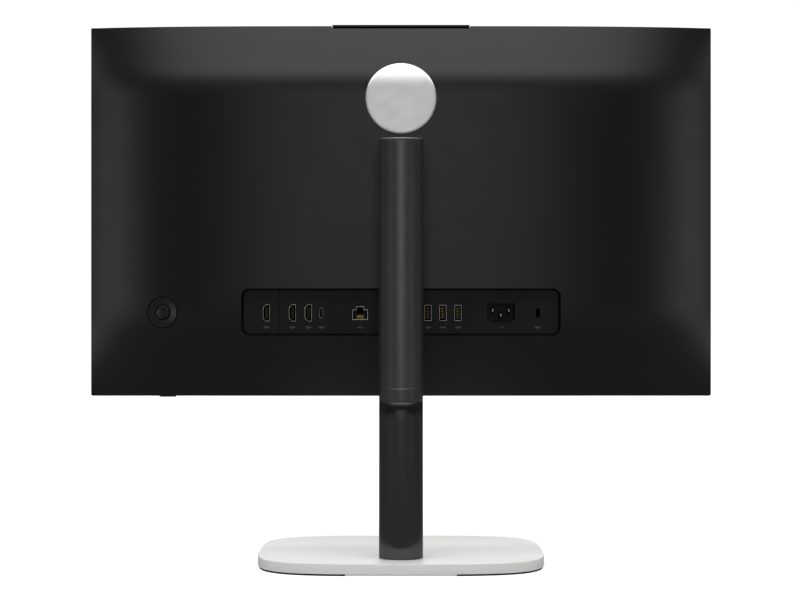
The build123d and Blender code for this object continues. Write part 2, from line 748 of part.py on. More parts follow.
def port_panel():
    """Flat panel that the sockets look out of."""
    panel = recess_prism(PANEL_FRONT, PANEL_Y)
    half = RECESS_WIDTH / 2 + 1
    keep = block(-half, MODULE_SEAM_X - 0.2, PANEL_FRONT, PANEL_Y, RECESS_Z - 30, RECESS_Z + 30)
    return (panel & keep) - panel_cutouts()


def port_module_panel():
    """Small swappable panel for the outer video socket."""
    panel = recess_prism(PANEL_FRONT, PANEL_Y)
    half = RECESS_WIDTH / 2 + 1
    keep = block(MODULE_SEAM_X + 0.2, half, PANEL_FRONT, PANEL_Y, RECESS_Z - 30, RECESS_Z + 30)
    return (panel & keep) - panel_cutouts()


def usb_c_socket():
    """Small rounded USB socket."""
    shell = prism_y(usb_c_outline(0), BOARD_BACK, SOCKET_LIP, USB_C_X, PORT_Z)
    shell = shell - prism_y(usb_c_outline(-0.4), BOARD_BACK + 3, SOCKET_LIP, USB_C_X, PORT_Z)
    x = USB_C_X
    return shell + block(x - 0.35, x + 0.35, BOARD_BACK + 3, SOCKET_LIP - 1, PORT_Z - 3.2, PORT_Z + 3.2)


def video_sockets():
    """Three video sockets, each a metal shell around a contact tongue."""
    sockets = []
    for x in (MODULE_VIDEO_X,) + VIDEO_XS:
        shell = prism_y(video_outline(0), BOARD_BACK, SOCKET_LIP, x, PORT_Z)
        shell = shell - prism_y(video_outline(-0.7), BOARD_BACK + 3, SOCKET_LIP, x, PORT_Z)
        tongue = block(x - 0.7, x + 0.7, BOARD_BACK + 3, SOCKET_LIP - 2, PORT_Z - 5.2, PORT_Z + 5.2)
        sockets.append(shell + tongue)
    return join(sockets)


def network_socket():
    """Network socket with a notch above for the plug's latch."""
    x = NETWORK_X
    body = prism_y(network_outline(0), BOARD_BACK, SOCKET_LIP, x, PORT_Z)
    back = BOARD_BACK + 2.5
    cavity = block(x - 6.15, x + 6.15, back, SOCKET_LIP, PORT_Z - 4.9, PORT_Z + 2.2)
    latch = block(x - 3.0, x + 3.0, back, SOCKET_LIP, PORT_Z + 2.2, PORT_Z + 4.0)
    tip = block(x - 2.2, x + 2.2, back, SOCKET_LIP, PORT_Z + 4.0, PORT_Z + 5.2)
    return body - cavity - latch - tip


def usb_a_sockets():
    """Three rectangular USB sockets."""
    sockets = []
    for x in USB_A_XS:
        shell = prism_y(usb_a_outline(0), BOARD_BACK, SOCKET_LIP, x, PORT_Z)
        shell = shell - prism_y(usb_a_outline(-0.6), BOARD_BACK + 3, SOCKET_LIP, x, PORT_Z)
        tongue = block(x - 2.0, x - 0.2, BOARD_BACK + 3, SOCKET_LIP - 1.5, PORT_Z - 5.6, PORT_Z + 5.6)
        sockets.append(shell + tongue)
    return join(sockets)


INLET_FRONT = SOCKET_LIP - 18.0


def power_inlet():
    """Mains inlet body with a deep cavity."""
    body = prism_y(inlet_outline(0), INLET_FRONT, PANEL_Y, INLET_X, PORT_Z)
    body = body - prism_y(inlet_cavity(), INLET_FRONT + 2, PANEL_Y, INLET_X, PORT_Z)
    for x, z in inlet_pin_spots():
        body = body - block(x - 1, x + 1, INLET_FRONT, INLET_FRONT + 2, z - 2, z + 2)
    return body


def inlet_pin_spots():
    """Centres of the three inlet blades."""
    return [(INLET_X + 7, PORT_Z + 2), (INLET_X - 7, PORT_Z + 2), (INLET_X, PORT_Z - 2)]


def inlet_pins():
    """Three flat blades in the inlet."""
    pins = []
    for x, z in inlet_pin_spots():
        pins.append(block(x - 1, x + 1, INLET_FRONT - 3, INLET_FRONT + 13, z - 2, z + 2))
    return join(pins)


def lock_plate():
    """Steel plate with the security lock slot."""
    back = PANEL_FRONT - 1.5
    plate = rounded_plate(9, 13, 1, back, PANEL_FRONT, LOCK_X, PORT_Z)
    return plate - prism_y(lock_outline(0), back, PANEL_FRONT, LOCK_X, PORT_Z)


# ---------------------------------------------------------------- electronics
BOARD_LEFT = -62.0
BOARD_RIGHT = 142.0
BOARD_LOW = HEAD_MID - 113.0
BOARD_STEP = HEAD_MID - 50.0
BOARD_HIGH = HEAD_MID + 45.0
BOARD_NECK = 30.0


def board_spots():
    """Where the chassis has raised posts for the board."""
    return [
        (BOARD_LEFT + 6, BOARD_LOW + 6),
        (BOARD_RIGHT - 6, BOARD_LOW + 6),
        (BOARD_LEFT + 6, BOARD_STEP - 6),
        (BOARD_RIGHT - 6, BOARD_HIGH - 6),
        (BOARD_NECK + 6, BOARD_HIGH - 6),
        (20, BOARD_LOW + 6),
    ]


def mainboard():
    """L-shaped circuit board."""
    board = block(BOARD_LEFT, BOARD_RIGHT, BOARD_FRONT, BOARD_BACK, BOARD_LOW, BOARD_STEP)
    board = board + block(BOARD_NECK, BOARD_RIGHT, BOARD_FRONT, BOARD_BACK, BOARD_STEP, BOARD_HIGH)
    for x, z in board_spots():
        board = board - rod_y(x, z, BOARD_FRONT, BOARD_BACK, 1.5)
    return board


CHIP_X = 110.0
CHIP_Z = HEAD_MID + 18.0
FINS_LOW = FAN_Z - FAN_HALF - 16.0
FINS_HIGH = FAN_Z - FAN_HALF


def processor():
    """Processor package on the board."""
    return block(CHIP_X - 15, CHIP_X + 15, BOARD_BACK, BOARD_BACK + 1.5, CHIP_Z - 12, CHIP_Z + 12)


def processor_cooler():
    """Plate on the processor, flattened heat pipe and fin stack, brazed into one piece."""
    plate_y = BOARD_BACK + 1.5
    pipe_y = plate_y + 2.5
    fins_y = pipe_y - 7.0
    bend_x = FAN_X - FAN_HALF - 10
    run_z = FINS_LOW + 8
    pieces = [
        block(CHIP_X - 19, CHIP_X + 19, plate_y, pipe_y, CHIP_Z - 19, CHIP_Z + 19),
        block(CHIP_X - 17, bend_x, pipe_y, pipe_y + 3, CHIP_Z - 4, CHIP_Z + 4),
        block(bend_x - 8, bend_x, pipe_y, pipe_y + 3, run_z - 4, CHIP_Z + 4),
        block(bend_x - 8, FAN_X + 28, pipe_y, pipe_y + 3, run_z - 4, run_z + 4),
        block(FAN_X - 30, FAN_X + 30, fins_y, fins_y + 1, FINS_LOW, FINS_HIGH),
    ]
    for i in range(16):
        x = FAN_X - 29.5 + i * (59.0 / 15)
        pieces.append(block(x - 0.5, x + 0.5, fins_y, pipe_y + 4, FINS_LOW, FINS_HIGH))
    return join(pieces)


def fan_housing():
    """Blower housing with an eye at the back and an outlet below."""
    low = FAN_Z - FAN_HALF
    high = FAN_Z + FAN_HALF
    box = block(FAN_X - FAN_HALF, FAN_X + FAN_HALF, CHASSIS_BACK, FAN_BACK, low, high)
    box = fillet(box.edges().filter_by(Axis.Y).sort_by(Axis.Z)[-2:], 20)
    inner_front = CHASSIS_BACK + 1.5
    inner_back = FAN_BACK - 1.5
    chamber = rod_y(FAN_X, FAN_Z, inner_front, inner_back, FAN_HALF - 2)
    outlet = block(FAN_X - 28, FAN_X + 28, inner_front, inner_back, low, FAN_Z)
    eye = rod_y(FAN_X, FAN_Z, inner_back, FAN_BACK, 21)
    post = rod_y(FAN_X, FAN_Z, inner_front, inner_front + 4, 4)
    bore = rod_y(FAN_X, FAN_Z, inner_front, inner_front + 4, 1.5 + FIT)
    return box - chamber - outlet - eye + (post - bore)


def fan_impeller():
    """Hub, shaft and curved ring of blades."""
    front = CHASSIS_BACK + 6.2
    back = FAN_BACK - 2.4
    hub = rod_y(FAN_X, FAN_Z, front, back, 11) + rod_y(FAN_X, FAN_Z, front - 4, front, 1.5)
    disc = rod_y(FAN_X, FAN_Z, front, front + 1, 26)
    parts = [hub, disc]
    for i in range(21):
        blade = Pos(20, 0, 0) * Rot(0, 0, 28) * Box(14, 0.9, back - front)
        turn = Rot(0, 0, i * 360 / 21)
        place = Plane(origin=(FAN_X, (front + back) / 2, FAN_Z), x_dir=(1, 0, 0), z_dir=(0, 1, 0))
        parts.append(place * (turn * blade))
    return join(parts)


def memory_module():
    """Memory stick lying in its slot."""
    low_z = BOARD_STEP + 6
    slot = block(BOARD_NECK + 6, BOARD_NECK + 76, BOARD_BACK, BOARD_BACK + 4, low_z, low_z + 5)
    stick = block(BOARD_NECK + 7, BOARD_NECK + 74.6, BOARD_BACK + 2, BOARD_BACK + 3.2, low_z + 5, low_z + 30)
    return slot + stick


def storage_drive():
    """Flat solid-state drive on its stand."""
    z = BOARD_STEP - 18
    card = block(-50, 18, BOARD_BACK + 2, BOARD_BACK + 3.2, z - 11, z + 11)
    stand = block(14, 18, BOARD_BACK, BOARD_BACK + 2, z - 11, z + 11)
    chip = block(-40, -10, BOARD_BACK + 3.2, BOARD_BACK + 4.4, z - 8, z + 8)
    return card + stand + chip


def power_supply():
    """Mains power unit in its own case."""
    x0 = -HEAD_HALF + 55
    x1 = INLET_X - 18
    z0 = HEAD_MID - 96
    z1 = HEAD_MID - 36
    case = block(x0, x1, CHASSIS_BACK, SEAM_Y + 16.5, z0, z1)
    wall = 1.2
    space = block(
        x0 + wall, x1 - wall, CHASSIS_BACK + wall, SEAM_Y + 16.5 - wall, z0 + wall, z1 - wall
    )
    slots = []
    for i in range(10):
        x = x0 + 15 + i * 9
        slots.append(block(x - 1.5, x + 1.5, SEAM_Y + 15, SEAM_Y + 17, z0 + 10, z1 - 10))
    return case - space - join(slots)


def speakers():
    """Two closed speaker boxes at the bottom."""
    boxes = []
    for side in (-1, 1):
        x = sorted((side * 95, side * 175))
        low = HEAD_BOTTOM + 11
        box = block(*x, CHASSIS_BACK, SEAM_Y + 7.5, low, low + 28)
        boxes.append(fillet(box.edges().filter_by(Axis.Y), 3))
    return join(boxes)


# ---------------------------------------------------------------- control stick
def control_ring():
    """Dished ring set into the back cover."""
    disc = stick_rod(-4.5, -0.1, STICK_RING - STICK_GROOVE) + stick_rod(-4.5, -3.5, STICK_RING)
    dish = stick_plane() * Pos(0, 0, DISH_SPHERE - 1.5) * Sphere(DISH_SPHERE)
    return disc - dish - stick_rod(-4.5, 0, STICK_HOLE)


def control_frame():
    """Short tube under the ring that holds the gimbal's pins."""
    tube = stick_rod(-STICK_FRAME_DEPTH, -4.5, 11) - stick_rod(-STICK_FRAME_DEPTH, -4.5, 9)
    board_room = block(
        STICK_X - 20, STICK_X + 20, GLASS_Y, SWITCH_BOARD_BACK + BOARD_CLEARANCE,
        STICK_Z - 20, STICK_Z + 20,
    )
    return tube - board_room - stick_cross_rod(11.5, 0.8 + FIT)


def stick_cross_rod(reach, radius):
    """Bar across the stick's axis at pivot depth, level with the desk."""
    place = stick_plane() * Pos(0, 0, -STICK_PIVOT_DEPTH) * Rot(0, 90, 0)
    return place * Cylinder(radius, 2 * reach)


def stick_upright_rod(reach, radius):
    """Bar across the stick's axis at pivot depth, standing upright."""
    place = stick_plane() * Pos(0, 0, -STICK_PIVOT_DEPTH) * Rot(90, 0, 0)
    return place * Cylinder(radius, 2 * reach)


def gimbal_ring():
    """Ring that nods on two pins."""
    depth = -STICK_PIVOT_DEPTH
    ring = stick_rod(depth - 1.5, depth + 1.5, 8.0)
    ring = ring + stick_cross_rod(10.4, 0.8)
    ring = ring - stick_rod(depth - 1.5, depth + 1.5, 6.0)
    return ring - stick_upright_rod(9, 0.8 + FIT)


def stick_hub():
    """Hub inside the ring that swings from side to side."""
    depth = -STICK_PIVOT_DEPTH
    hub = stick_rod(depth - 2, depth + 2, 4.5)
    hub = hub + stick_upright_rod(7.6, 0.8)
    return hub - stick_rod(depth - 2, depth + 2, STICK_STEM + FIT)


def stick_cap():
    """Domed nub with a stem that presses a switch."""
    cap = stick_rod(-3.6, 0.4, STICK_NUB)
    dome = stick_plane() * Pos(0, 0, 0.4 - NUB_SPHERE) * Sphere(NUB_SPHERE)
    cap = cap & dome
    return cap + stick_rod(-13, -3.6, STICK_STEM)


def control_board():
    """Upright circuit board with the stick's switch and the power switch."""
    front, back = SWITCH_BOARD_FRONT, SWITCH_BOARD_BACK
    low = HEAD_BOTTOM + 5.3
    board = block(STICK_X - 14, STICK_X + 14, front, back, low + 3.3, STICK_Z + 14)
    board = board + stick_rod(-19.5, -13.95, 2.6)
    for z in (low + 16, STICK_Z + 9):
        board = board + rod_y(STICK_X - 10, z, CHASSIS_BACK, front, 2.0)
    switch = block(BUTTON_X - 3, BUTTON_X + 3, BUTTON_Y - 1.5, back, low, low + 5)
    return board + switch


# ---------------------------------------------------------------- power button
def power_button():
    """Push button in the bottom edge with a retaining flange."""
    y = (BUTTON_Y - BUTTON_DEPTH / 2, BUTTON_Y + BUTTON_DEPTH / 2)
    half = BUTTON_WIDTH / 2
    bottom = HEAD_BOTTOM - 0.7
    cap = block(BUTTON_X - half, BUTTON_X + half, *y, bottom, HEAD_BOTTOM + 4)
    flange = block(
        BUTTON_X - half - 1.6, BUTTON_X + half + 1.6, *y, HEAD_BOTTOM + 3, HEAD_BOTTOM + 4
    )
    return cap + flange


# ---------------------------------------------------------------- pop-up camera
def camera_housing():
    """Hollow camera body."""
    half = CAMERA_WIDTH / 2
    low = CAMERA_TOP - CAMERA_HEIGHT
    high = CAMERA_TOP - 1.7
    body = block(-half, half, CAMERA_FRONT, CAMERA_BACK, low, high)
    hollow = block(-half + 3, half - 3, CAMERA_FRONT + 1.7, CAMERA_BACK - 1.7, low + 3, high - 2)
    return body - hollow - rod_y(0, CAMERA_TOP - 13, CAMERA_FRONT, CAMERA_FRONT + 1.7, 3.5)


def camera_cap():
    """Strip along the camera's top with a lip to pull on."""
    half = CAMERA_WIDTH / 2
    return block(-half, half, CAMERA_FRONT, CAMERA_BACK + 2.6, CAMERA_TOP - 1.7, CAMERA_TOP)


def camera_lens():
    """Lens barrel behind the camera's window."""
    return rod_y(0, CAMERA_TOP - 13, CAMERA_FRONT + 0.2, CAMERA_FRONT + 3.7, 3.5)


def camera_guides():
    """Two upright rails that the camera slides between."""
    rails = []
    for side in (-1, 1):
        inner = CAMERA_WIDTH / 2 + 0.4
        x = sorted((side * inner, side * (inner + 3.5)))
        low = CAMERA_TOP - CAMERA_HEIGHT - 6
        rail = block(*x, CHASSIS_BACK, CAMERA_BACK, low, HEAD_TOP - 3)
        rails.append(rail)
    return join(rails)


NODES = [
    base_plate, base_weight, rubber_feet, swivel_bush, thrust_washer,
    mast, spindle_nut, lower_column_shell, column_collar, upper_column_shell,
    column_top_cap, guide_rods, spring_axle, lift_spring_drum, lift_spring_strip,
    carriage, carriage_bushes, neck_arm, neck_cover,
    tilt_bracket, hinge_pin, friction_washers, mount_pillars, mount_screws,
    front_bezel, lcd_panel, backlight_unit, chassis, rear_cover, badge,
    recess_rim, port_panel, port_module_panel, video_sockets, usb_c_socket,
    network_socket, usb_a_sockets, power_inlet, inlet_pins, lock_plate,
    mainboard, processor, processor_cooler, fan_housing, fan_impeller,
    memory_module, storage_drive, power_supply, speakers,
    control_ring, control_frame, gimbal_ring, stick_hub, stick_cap, control_board,
    power_button, camera_housing, camera_cap, camera_lens, camera_guides,
]

os.makedirs("parts", exist_ok=True)
for node in NODES:
    export_step(node(), "parts/" + node.__name__ + ".step")
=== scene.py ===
"""Looks of an all-in-one computer on a column stand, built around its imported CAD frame."""

import json
import math

import bmesh
import bpy
from mathutils import Matrix, Vector


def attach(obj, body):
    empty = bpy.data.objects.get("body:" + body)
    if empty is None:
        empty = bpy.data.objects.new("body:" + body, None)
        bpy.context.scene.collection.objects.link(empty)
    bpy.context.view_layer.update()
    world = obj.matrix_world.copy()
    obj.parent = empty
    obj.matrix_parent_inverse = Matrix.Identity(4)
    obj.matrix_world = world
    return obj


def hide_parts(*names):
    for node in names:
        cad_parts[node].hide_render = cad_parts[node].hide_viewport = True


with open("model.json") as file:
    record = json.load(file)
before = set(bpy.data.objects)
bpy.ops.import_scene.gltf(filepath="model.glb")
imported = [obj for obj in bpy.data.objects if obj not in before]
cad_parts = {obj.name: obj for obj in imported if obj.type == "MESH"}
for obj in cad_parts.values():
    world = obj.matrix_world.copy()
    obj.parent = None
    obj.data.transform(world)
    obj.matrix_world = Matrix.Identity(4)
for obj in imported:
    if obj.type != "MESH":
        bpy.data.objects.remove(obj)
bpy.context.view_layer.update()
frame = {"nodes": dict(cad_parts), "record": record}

# ------------------------------------------------------------------ sizes in millimetres
MM = 0.001
HEAD_WIDTH = 540.0
HEAD_HEIGHT = 320.3
HEAD_BOTTOM = 139.5
HEAD_HALF = HEAD_WIDTH / 2
HEAD_MID = HEAD_BOTTOM + HEAD_HEIGHT / 2
HEAD_TOP = HEAD_BOTTOM + HEAD_HEIGHT
CROWN_Y = 2.0
SEAM_Y = -33.0
COVER_EDGE_Y = -31.0
COVER_INSET = 0.4
COVER_WALL = 2.2
TOP_BREAK, TOP_BLEND, TOP_SLOPE = 99.0, 21.0, 0.352
BOTTOM_BREAK, BOTTOM_BLEND, BOTTOM_SLOPE = 80.0, 27.0, 0.376

RECESS_WIDTH, RECESS_HEIGHT, RECESS_RADIUS = 273.9, 40.4, 6.8
RECESS_Z = HEAD_MID - 86.95
PORT_Z = HEAD_MID - 87.75
PANEL_Y = CROWN_Y - 9.0
SOCKET_LIP = PANEL_Y + 0.3
MOUNT_HALF_X, MOUNT_HALF_Z, MOUNT_RADIUS = 17.3, 44.3, 4.3

STICK_X, STICK_Z, STICK_RADIUS = HEAD_HALF - 64.7, HEAD_MID - 87.45, 13.6
STICK_YAW = math.radians(13.0)
STICK_GROOVE, STICK_HOLE, STICK_NUB = 0.6, 6.6, 5.9
DISH_SPHERE, NUB_SPHERE = 60.0, 30.0
CAMERA_HALF = 59.3
CAMERA_FRONT, CAMERA_BACK = SEAM_Y + 1.8, SEAM_Y + 12.6

BADGE_Z, BADGE_RADIUS, BADGE_THICK, BADGE_BEVEL = HEAD_MID + 96.0, 30.3, 0.6, 0.12
COLUMN_Y, COLUMN_RADIUS, COLUMN_BORE = 60.4, 18.2, 16.2
COLLAR_BOTTOM, COLLAR_TOP = 139.2, 150.2
COLUMN_TOP = HEAD_MID + 56.65
SLOT_LOW, SLOT_HIGH, SLOT_HALF = HEAD_MID - 128.0, HEAD_MID + 20.0, 10.5

BASE_WIDTH, BASE_DEPTH, BASE_TOP, FOOT = 240.5, 204.0, 10.0, 1.5

VIDEO_XS = (115.6, 93.3, 79.6)
USB_C_X = 68.4
NETWORK_X = 35.1
USB_A_XS = (-23.2, -36.0, -48.9)
INLET_X = -85.9
LOCK_X = -117.6
# Size and depth of the near-black painted-shade wall behind the security slot.
LOCK_SHADE_HALF_X, LOCK_SHADE_HALF_Z, LOCK_SHADE_DEPTH = 2.6, 4.6, 3.6
MARK_DROP, MARK_HALF = 12.2, 2.4
# X and Z of each inlet blade from the middle of the inlet.
BLADE_PLACES = ((7.0, 2.0), (-7.0, 2.0), (0.0, -2.0))
# Y, half width and half height of a blade from its root to its tip.
BLADE_RINGS = ((-27.5, 0.8, 1.8), (-13.2, 0.8, 1.8), (-11.9, 0.45, 1.4), (-11.8, 0.4, 1.3))
# Y of the near-black collars round the blades, painted shade for the dark holes the blades stand in.
COLLAR_BACK, COLLAR_FRONT = -22.9, -21.0

# Light powers in watts, and the spread of the side lights in degrees.
OVERHEAD_POWER, BEHIND_CAMERA_POWER, FRONT_FILL_POWER = 98, 6.2, 26
SIDE_POWER, SIDE_SPREAD, EDGE_POWER = 0.062, 22, 2.4
# Tone of the floor in reflections, and strength of the world away from the camera's own view.
FLOOR_MIRRORED, WORLD_DIM = 0.2, 0.02

# Camera: focal length and sensor width in millimetres, shift as a share of the picture's
# width, and place in metres.
LENS, SENSOR, LENS_SHIFT = 94.05, 36.0, -0.00125
CAMERA_PLACE = (0, 1.788, 0.223)


# ------------------------------------------------------------------ materials
def new_material(name):
    """Empty node material with its shader and object coordinates."""
    material = bpy.data.materials.new(name)
    material.use_nodes = True
    tree = material.node_tree
    shader = tree.nodes["Principled BSDF"]
    place = tree.nodes.new("ShaderNodeTexCoord")
    return material, tree, shader, place.outputs["Object"]


def noise(tree, coordinates, scale, detail=2.0, stretch=None):
    """Noise texture's value, with its coordinates stretched if asked."""
    if stretch:
        mapping = tree.nodes.new("ShaderNodeMapping")
        mapping.inputs["Scale"].default_value = stretch
        tree.links.new(coordinates, mapping.inputs["Vector"])
        coordinates = mapping.outputs["Vector"]
    node = tree.nodes.new("ShaderNodeTexNoise")
    node.inputs["Scale"].default_value = scale
    node.inputs["Detail"].default_value = detail
    tree.links.new(coordinates, node.inputs["Vector"])
    return node.outputs["Fac"]


def ramp(tree, value, stops):
    """Colour ramp through (position, grey or colour) stops."""
    node = tree.nodes.new("ShaderNodeValToRGB")
    elements = node.color_ramp.elements
    while len(elements) < len(stops):
        elements.new(0.5)
    for element, (position, colour) in zip(elements, stops):
        element.position = position
        rgb = colour if isinstance(colour, tuple) else (colour,) * 3
        element.color = (*rgb, 1.0)
    tree.links.new(value, node.inputs["Fac"])
    return node.outputs["Color"]


def bump(tree, shader, height, strength, distance):
    """Bumps the shader's normal by a height."""
    node = tree.nodes.new("ShaderNodeBump")
    node.inputs["Strength"].default_value = strength
    node.inputs["Distance"].default_value = distance
    tree.links.new(height, node.inputs["Height"])
    tree.links.new(node.outputs["Normal"], shader.inputs["Normal"])


def scaled(colour, factor):
    """Colour made lighter or darker."""
    return tuple(min(c * factor, 1.0) for c in colour)


def surface(name, colour, roughness, metallic=0.0, grain=1800.0, depth=0.00002, strength=0.25,
            tint=0.05, spread=0.03, wear=1.4, coat=0.0, stretch=None, specular=0.5):
    """Finish with fine grain, soft mottling, uneven gloss and slightly rubbed edges."""
    material, tree, shader, coordinates = new_material(name)
    mottling = noise(tree, coordinates, 14.0, 3.0)
    body = ramp(tree, mottling, [(0.3, scaled(colour, 1 - tint)), (0.7, scaled(colour, 1 + tint))])
    geometry = tree.nodes.new("ShaderNodeNewGeometry")
    edge = ramp(tree, geometry.outputs["Pointiness"], [(0.52, 0.0), (0.6, 1.0)])
    mix = tree.nodes.new("ShaderNodeMix")
    mix.data_type = "RGBA"
    tree.links.new(edge, mix.inputs["Factor"])
    tree.links.new(body, mix.inputs["A"])
    mix.inputs["B"].default_value = (*scaled(colour, wear), 1.0)
    tree.links.new(mix.outputs["Result"], shader.inputs["Base Color"])
    smears = noise(tree, coordinates, 45.0, 4.0)
    gloss = ramp(tree, smears, [(0.3, max(roughness - spread, 0.02)), (0.7, roughness + spread)])
    tree.links.new(gloss, shader.inputs["Roughness"])
    shader.inputs["Metallic"].default_value = metallic
    shader.inputs["Specular IOR Level"].default_value = specular
    shader.inputs["Coat Weight"].default_value = coat
    shader.inputs["Coat Roughness"].default_value = 0.08
    bump(tree, shader, noise(tree, coordinates, grain, 2.0, stretch), strength, depth)
    return material


def turned(material):
    """Stretches the gloss of a tube around its axis, as drawing and polishing do."""
    tree = material.node_tree
    around = tree.nodes.new("ShaderNodeTangent")
    around.direction_type = "RADIAL"
    around.axis = "Z"
    shader = tree.nodes["Principled BSDF"]
    shader.inputs["Anisotropic"].default_value = 0.9
    tree.links.new(around.outputs["Tangent"], shader.inputs["Tangent"])


def badge_metal():
    """Polished metal with very fine turned rings."""
    material, tree, shader, coordinates = new_material("badge_metal")
    centre = tree.nodes.new("ShaderNodeMapping")
    centre.inputs["Location"].default_value = (0, 0, -BADGE_Z * MM)
    tree.links.new(coordinates, centre.inputs["Vector"])
    flat = tree.nodes.new("ShaderNodeVectorMath")
    flat.operation = "MULTIPLY"
    flat.inputs[1].default_value = (1, 0, 1)
    tree.links.new(centre.outputs["Vector"], flat.inputs[0])
    rings = tree.nodes.new("ShaderNodeTexWave")
    rings.wave_type = "RINGS"
    rings.rings_direction = "SPHERICAL"
    rings.inputs["Scale"].default_value = 900.0
    rings.inputs["Distortion"].default_value = 0.6
    tree.links.new(flat.outputs["Vector"], rings.inputs["Vector"])
    bump(tree, shader, rings.outputs["Fac"], 0.05, 0.00002)
    smears = noise(tree, coordinates, 120.0, 3.0)
    tree.links.new(ramp(tree, smears, [(0.3, 0.38), (0.7, 0.43)]), shader.inputs["Roughness"])
    tone = noise(tree, coordinates, 60.0, 2.0)
    tree.links.new(ramp(tree, tone, [(0.3, 0.82), (0.7, 0.86)]), shader.inputs["Base Color"])
    shader.inputs["Metallic"].default_value = 1.0
    return material


def circuit_board():
    """Solder mask with faint tracks and pads."""
    material, tree, shader, coordinates = new_material("circuit_board")
    tracks = tree.nodes.new("ShaderNodeTexBrick")
    tracks.inputs["Scale"].default_value = 160.0
    tracks.inputs["Mortar Size"].default_value = 0.06
    tracks.inputs["Color1"].default_value = (0.008, 0.055, 0.03, 1)
    tracks.inputs["Color2"].default_value = (0.010, 0.070, 0.036, 1)
    tracks.inputs["Mortar"].default_value = (0.03, 0.12, 0.06, 1)
    upright = tree.nodes.new("ShaderNodeMapping")
    upright.inputs["Rotation"].default_value = (math.radians(90), 0, 0)
    tree.links.new(coordinates, upright.inputs["Vector"])
    tree.links.new(upright.outputs["Vector"], tracks.inputs["Vector"])
    tree.links.new(tracks.outputs["Color"], shader.inputs["Base Color"])
    bump(tree, shader, tracks.outputs["Fac"], 0.2, 0.00003)
    smears = noise(tree, coordinates, 80.0)
    tree.links.new(ramp(tree, smears, [(0.3, 0.3), (0.7, 0.4)]), shader.inputs["Roughness"])
    return material


def screen_glass():
    """Dark glass of a switched-off screen, with a faint sheen."""
    material, tree, shader, coordinates = new_material("screen_glass")
    depth = noise(tree, coordinates, 3.0)
    tone = ramp(tree, depth, [(0.3, (0.006, 0.006, 0.008)), (0.7, (0.009, 0.009, 0.011))])
    tree.links.new(tone, shader.inputs["Base Color"])
    haze = noise(tree, coordinates, 25.0, 3.0)
    tree.links.new(ramp(tree, haze, [(0.3, 0.20), (0.7, 0.24)]), shader.inputs["Roughness"])
    bump(tree, shader, noise(tree, coordinates, 4000.0), 0.05, 0.000005)
    return material


BLACK = (0.0025, 0.0025, 0.0027)
COVER = surface("cover_satin", (0.0014, 0.0014, 0.0015), 0.36, grain=2600.0, depth=0.00001,
                tint=0.03, spread=0.012)
COLUMN = surface("column_satin", (0.16, 0.16, 0.162), 0.33, metallic=1.0, grain=2600.0,
                 depth=0.00001, tint=0.03, spread=0.01, wear=1.1)
# Painted shade: the lower tube has the upper tube's finish, darkened because less light reaches it
# near the base.
LOWER_COLUMN_SHADED = surface("lower_column_painted_shade", (0.10, 0.10, 0.101), 0.33, metallic=1.0,
                       grain=2600.0, depth=0.00001, tint=0.03, spread=0.01, wear=1.1)
COLLAR = surface("collar_gloss", (0.15, 0.15, 0.152), 0.32, metallic=1.0, strength=0.05,
                 spread=0.02, wear=1.1)
for drawn_metal in (COLUMN, LOWER_COLUMN_SHADED, COLLAR):
    turned(drawn_metal)
SILVER = surface("base_silver", (0.78, 0.78, 0.77), 0.46, grain=5000.0, tint=0.012,
                 spread=0.03, wear=1.05)
RUBBER = surface("foot_rubber", (0.010, 0.010, 0.010), 0.85, grain=3000.0, strength=0.6)
MATTE = surface("recess_black", BLACK, 0.44, grain=3200.0, strength=0.35, specular=0.25)
# Near-black painted shade, put on pieces that sit in shadow in place of their own finish.
PAINTED_SHADE = surface("painted_shade_black", (0.001, 0.001, 0.001), 0.6, grain=3200.0, strength=0.3, specular=0.1)
BEZEL = surface("bezel_black", BLACK, 0.24, strength=0.08, coat=0.2)
STEEL = surface("plain_steel", (0.42, 0.42, 0.43), 0.38, metallic=1.0, grain=900.0,
                stretch=(1, 1, 0.05))
BRIGHT = surface("bright_steel", (0.60, 0.60, 0.61), 0.26, metallic=1.0, grain=1500.0)
ALUMINIUM = surface("plain_aluminium", (0.62, 0.62, 0.63), 0.35, metallic=1.0, grain=1200.0,
                    stretch=(0.05, 1, 1))
# Gold darkened to a dull brown, painted shade for contacts that sit deep in the sockets.
GOLD_SHADED = surface("gold_contacts_painted_shade", (0.27, 0.15, 0.035), 0.36, metallic=1.0)
SOCKET_METAL = surface("socket_metal", (0.30, 0.30, 0.31), 0.34, metallic=1.0, grain=1500.0)
NYLON = surface("nylon", (0.70, 0.68, 0.62), 0.5)
TRAY = surface("white_tray", (0.70, 0.71, 0.72), 0.5)
CHIP = surface("chip_black", (0.02, 0.02, 0.022), 0.35)
PRINT = surface("grey_print", (0.10, 0.10, 0.10), 0.6, wear=1.0)
BADGE = badge_metal()
BOARD = circuit_board()
SCREEN = screen_glass()

SLOT_MATERIALS = {
    "silver_paint": SILVER, "plain_steel": STEEL, "bright_steel": BRIGHT,
    "foot_rubber": RUBBER, "nylon": NYLON, "column_skin": COLUMN, "collar_skin": COLLAR,
    "cover_skin": COVER, "black_plastic": MATTE, "bezel_gloss": BEZEL,
    "screen_glass": SCREEN, "light_guide": TRAY, "polished": BADGE,
    "circuit_board": BOARD, "chip": CHIP, "gold": GOLD_SHADED, "fin_metal": ALUMINIUM,
    "lens_glass": SCREEN,
}
# Nodes that take the darkest plastic whatever their slot is, as painted shade: near-black stands in
# for the shadow on the recess rim, behind the lock slot, in the gaps round the stick, in the camera
# notch and on other parts that sit in shadow.
PAINTED_SHADE_NODES = ("recess_rim", "lock_plate", "control_frame", "gimbal_ring", "stick_hub",
                "camera_housing", "neck_cover")


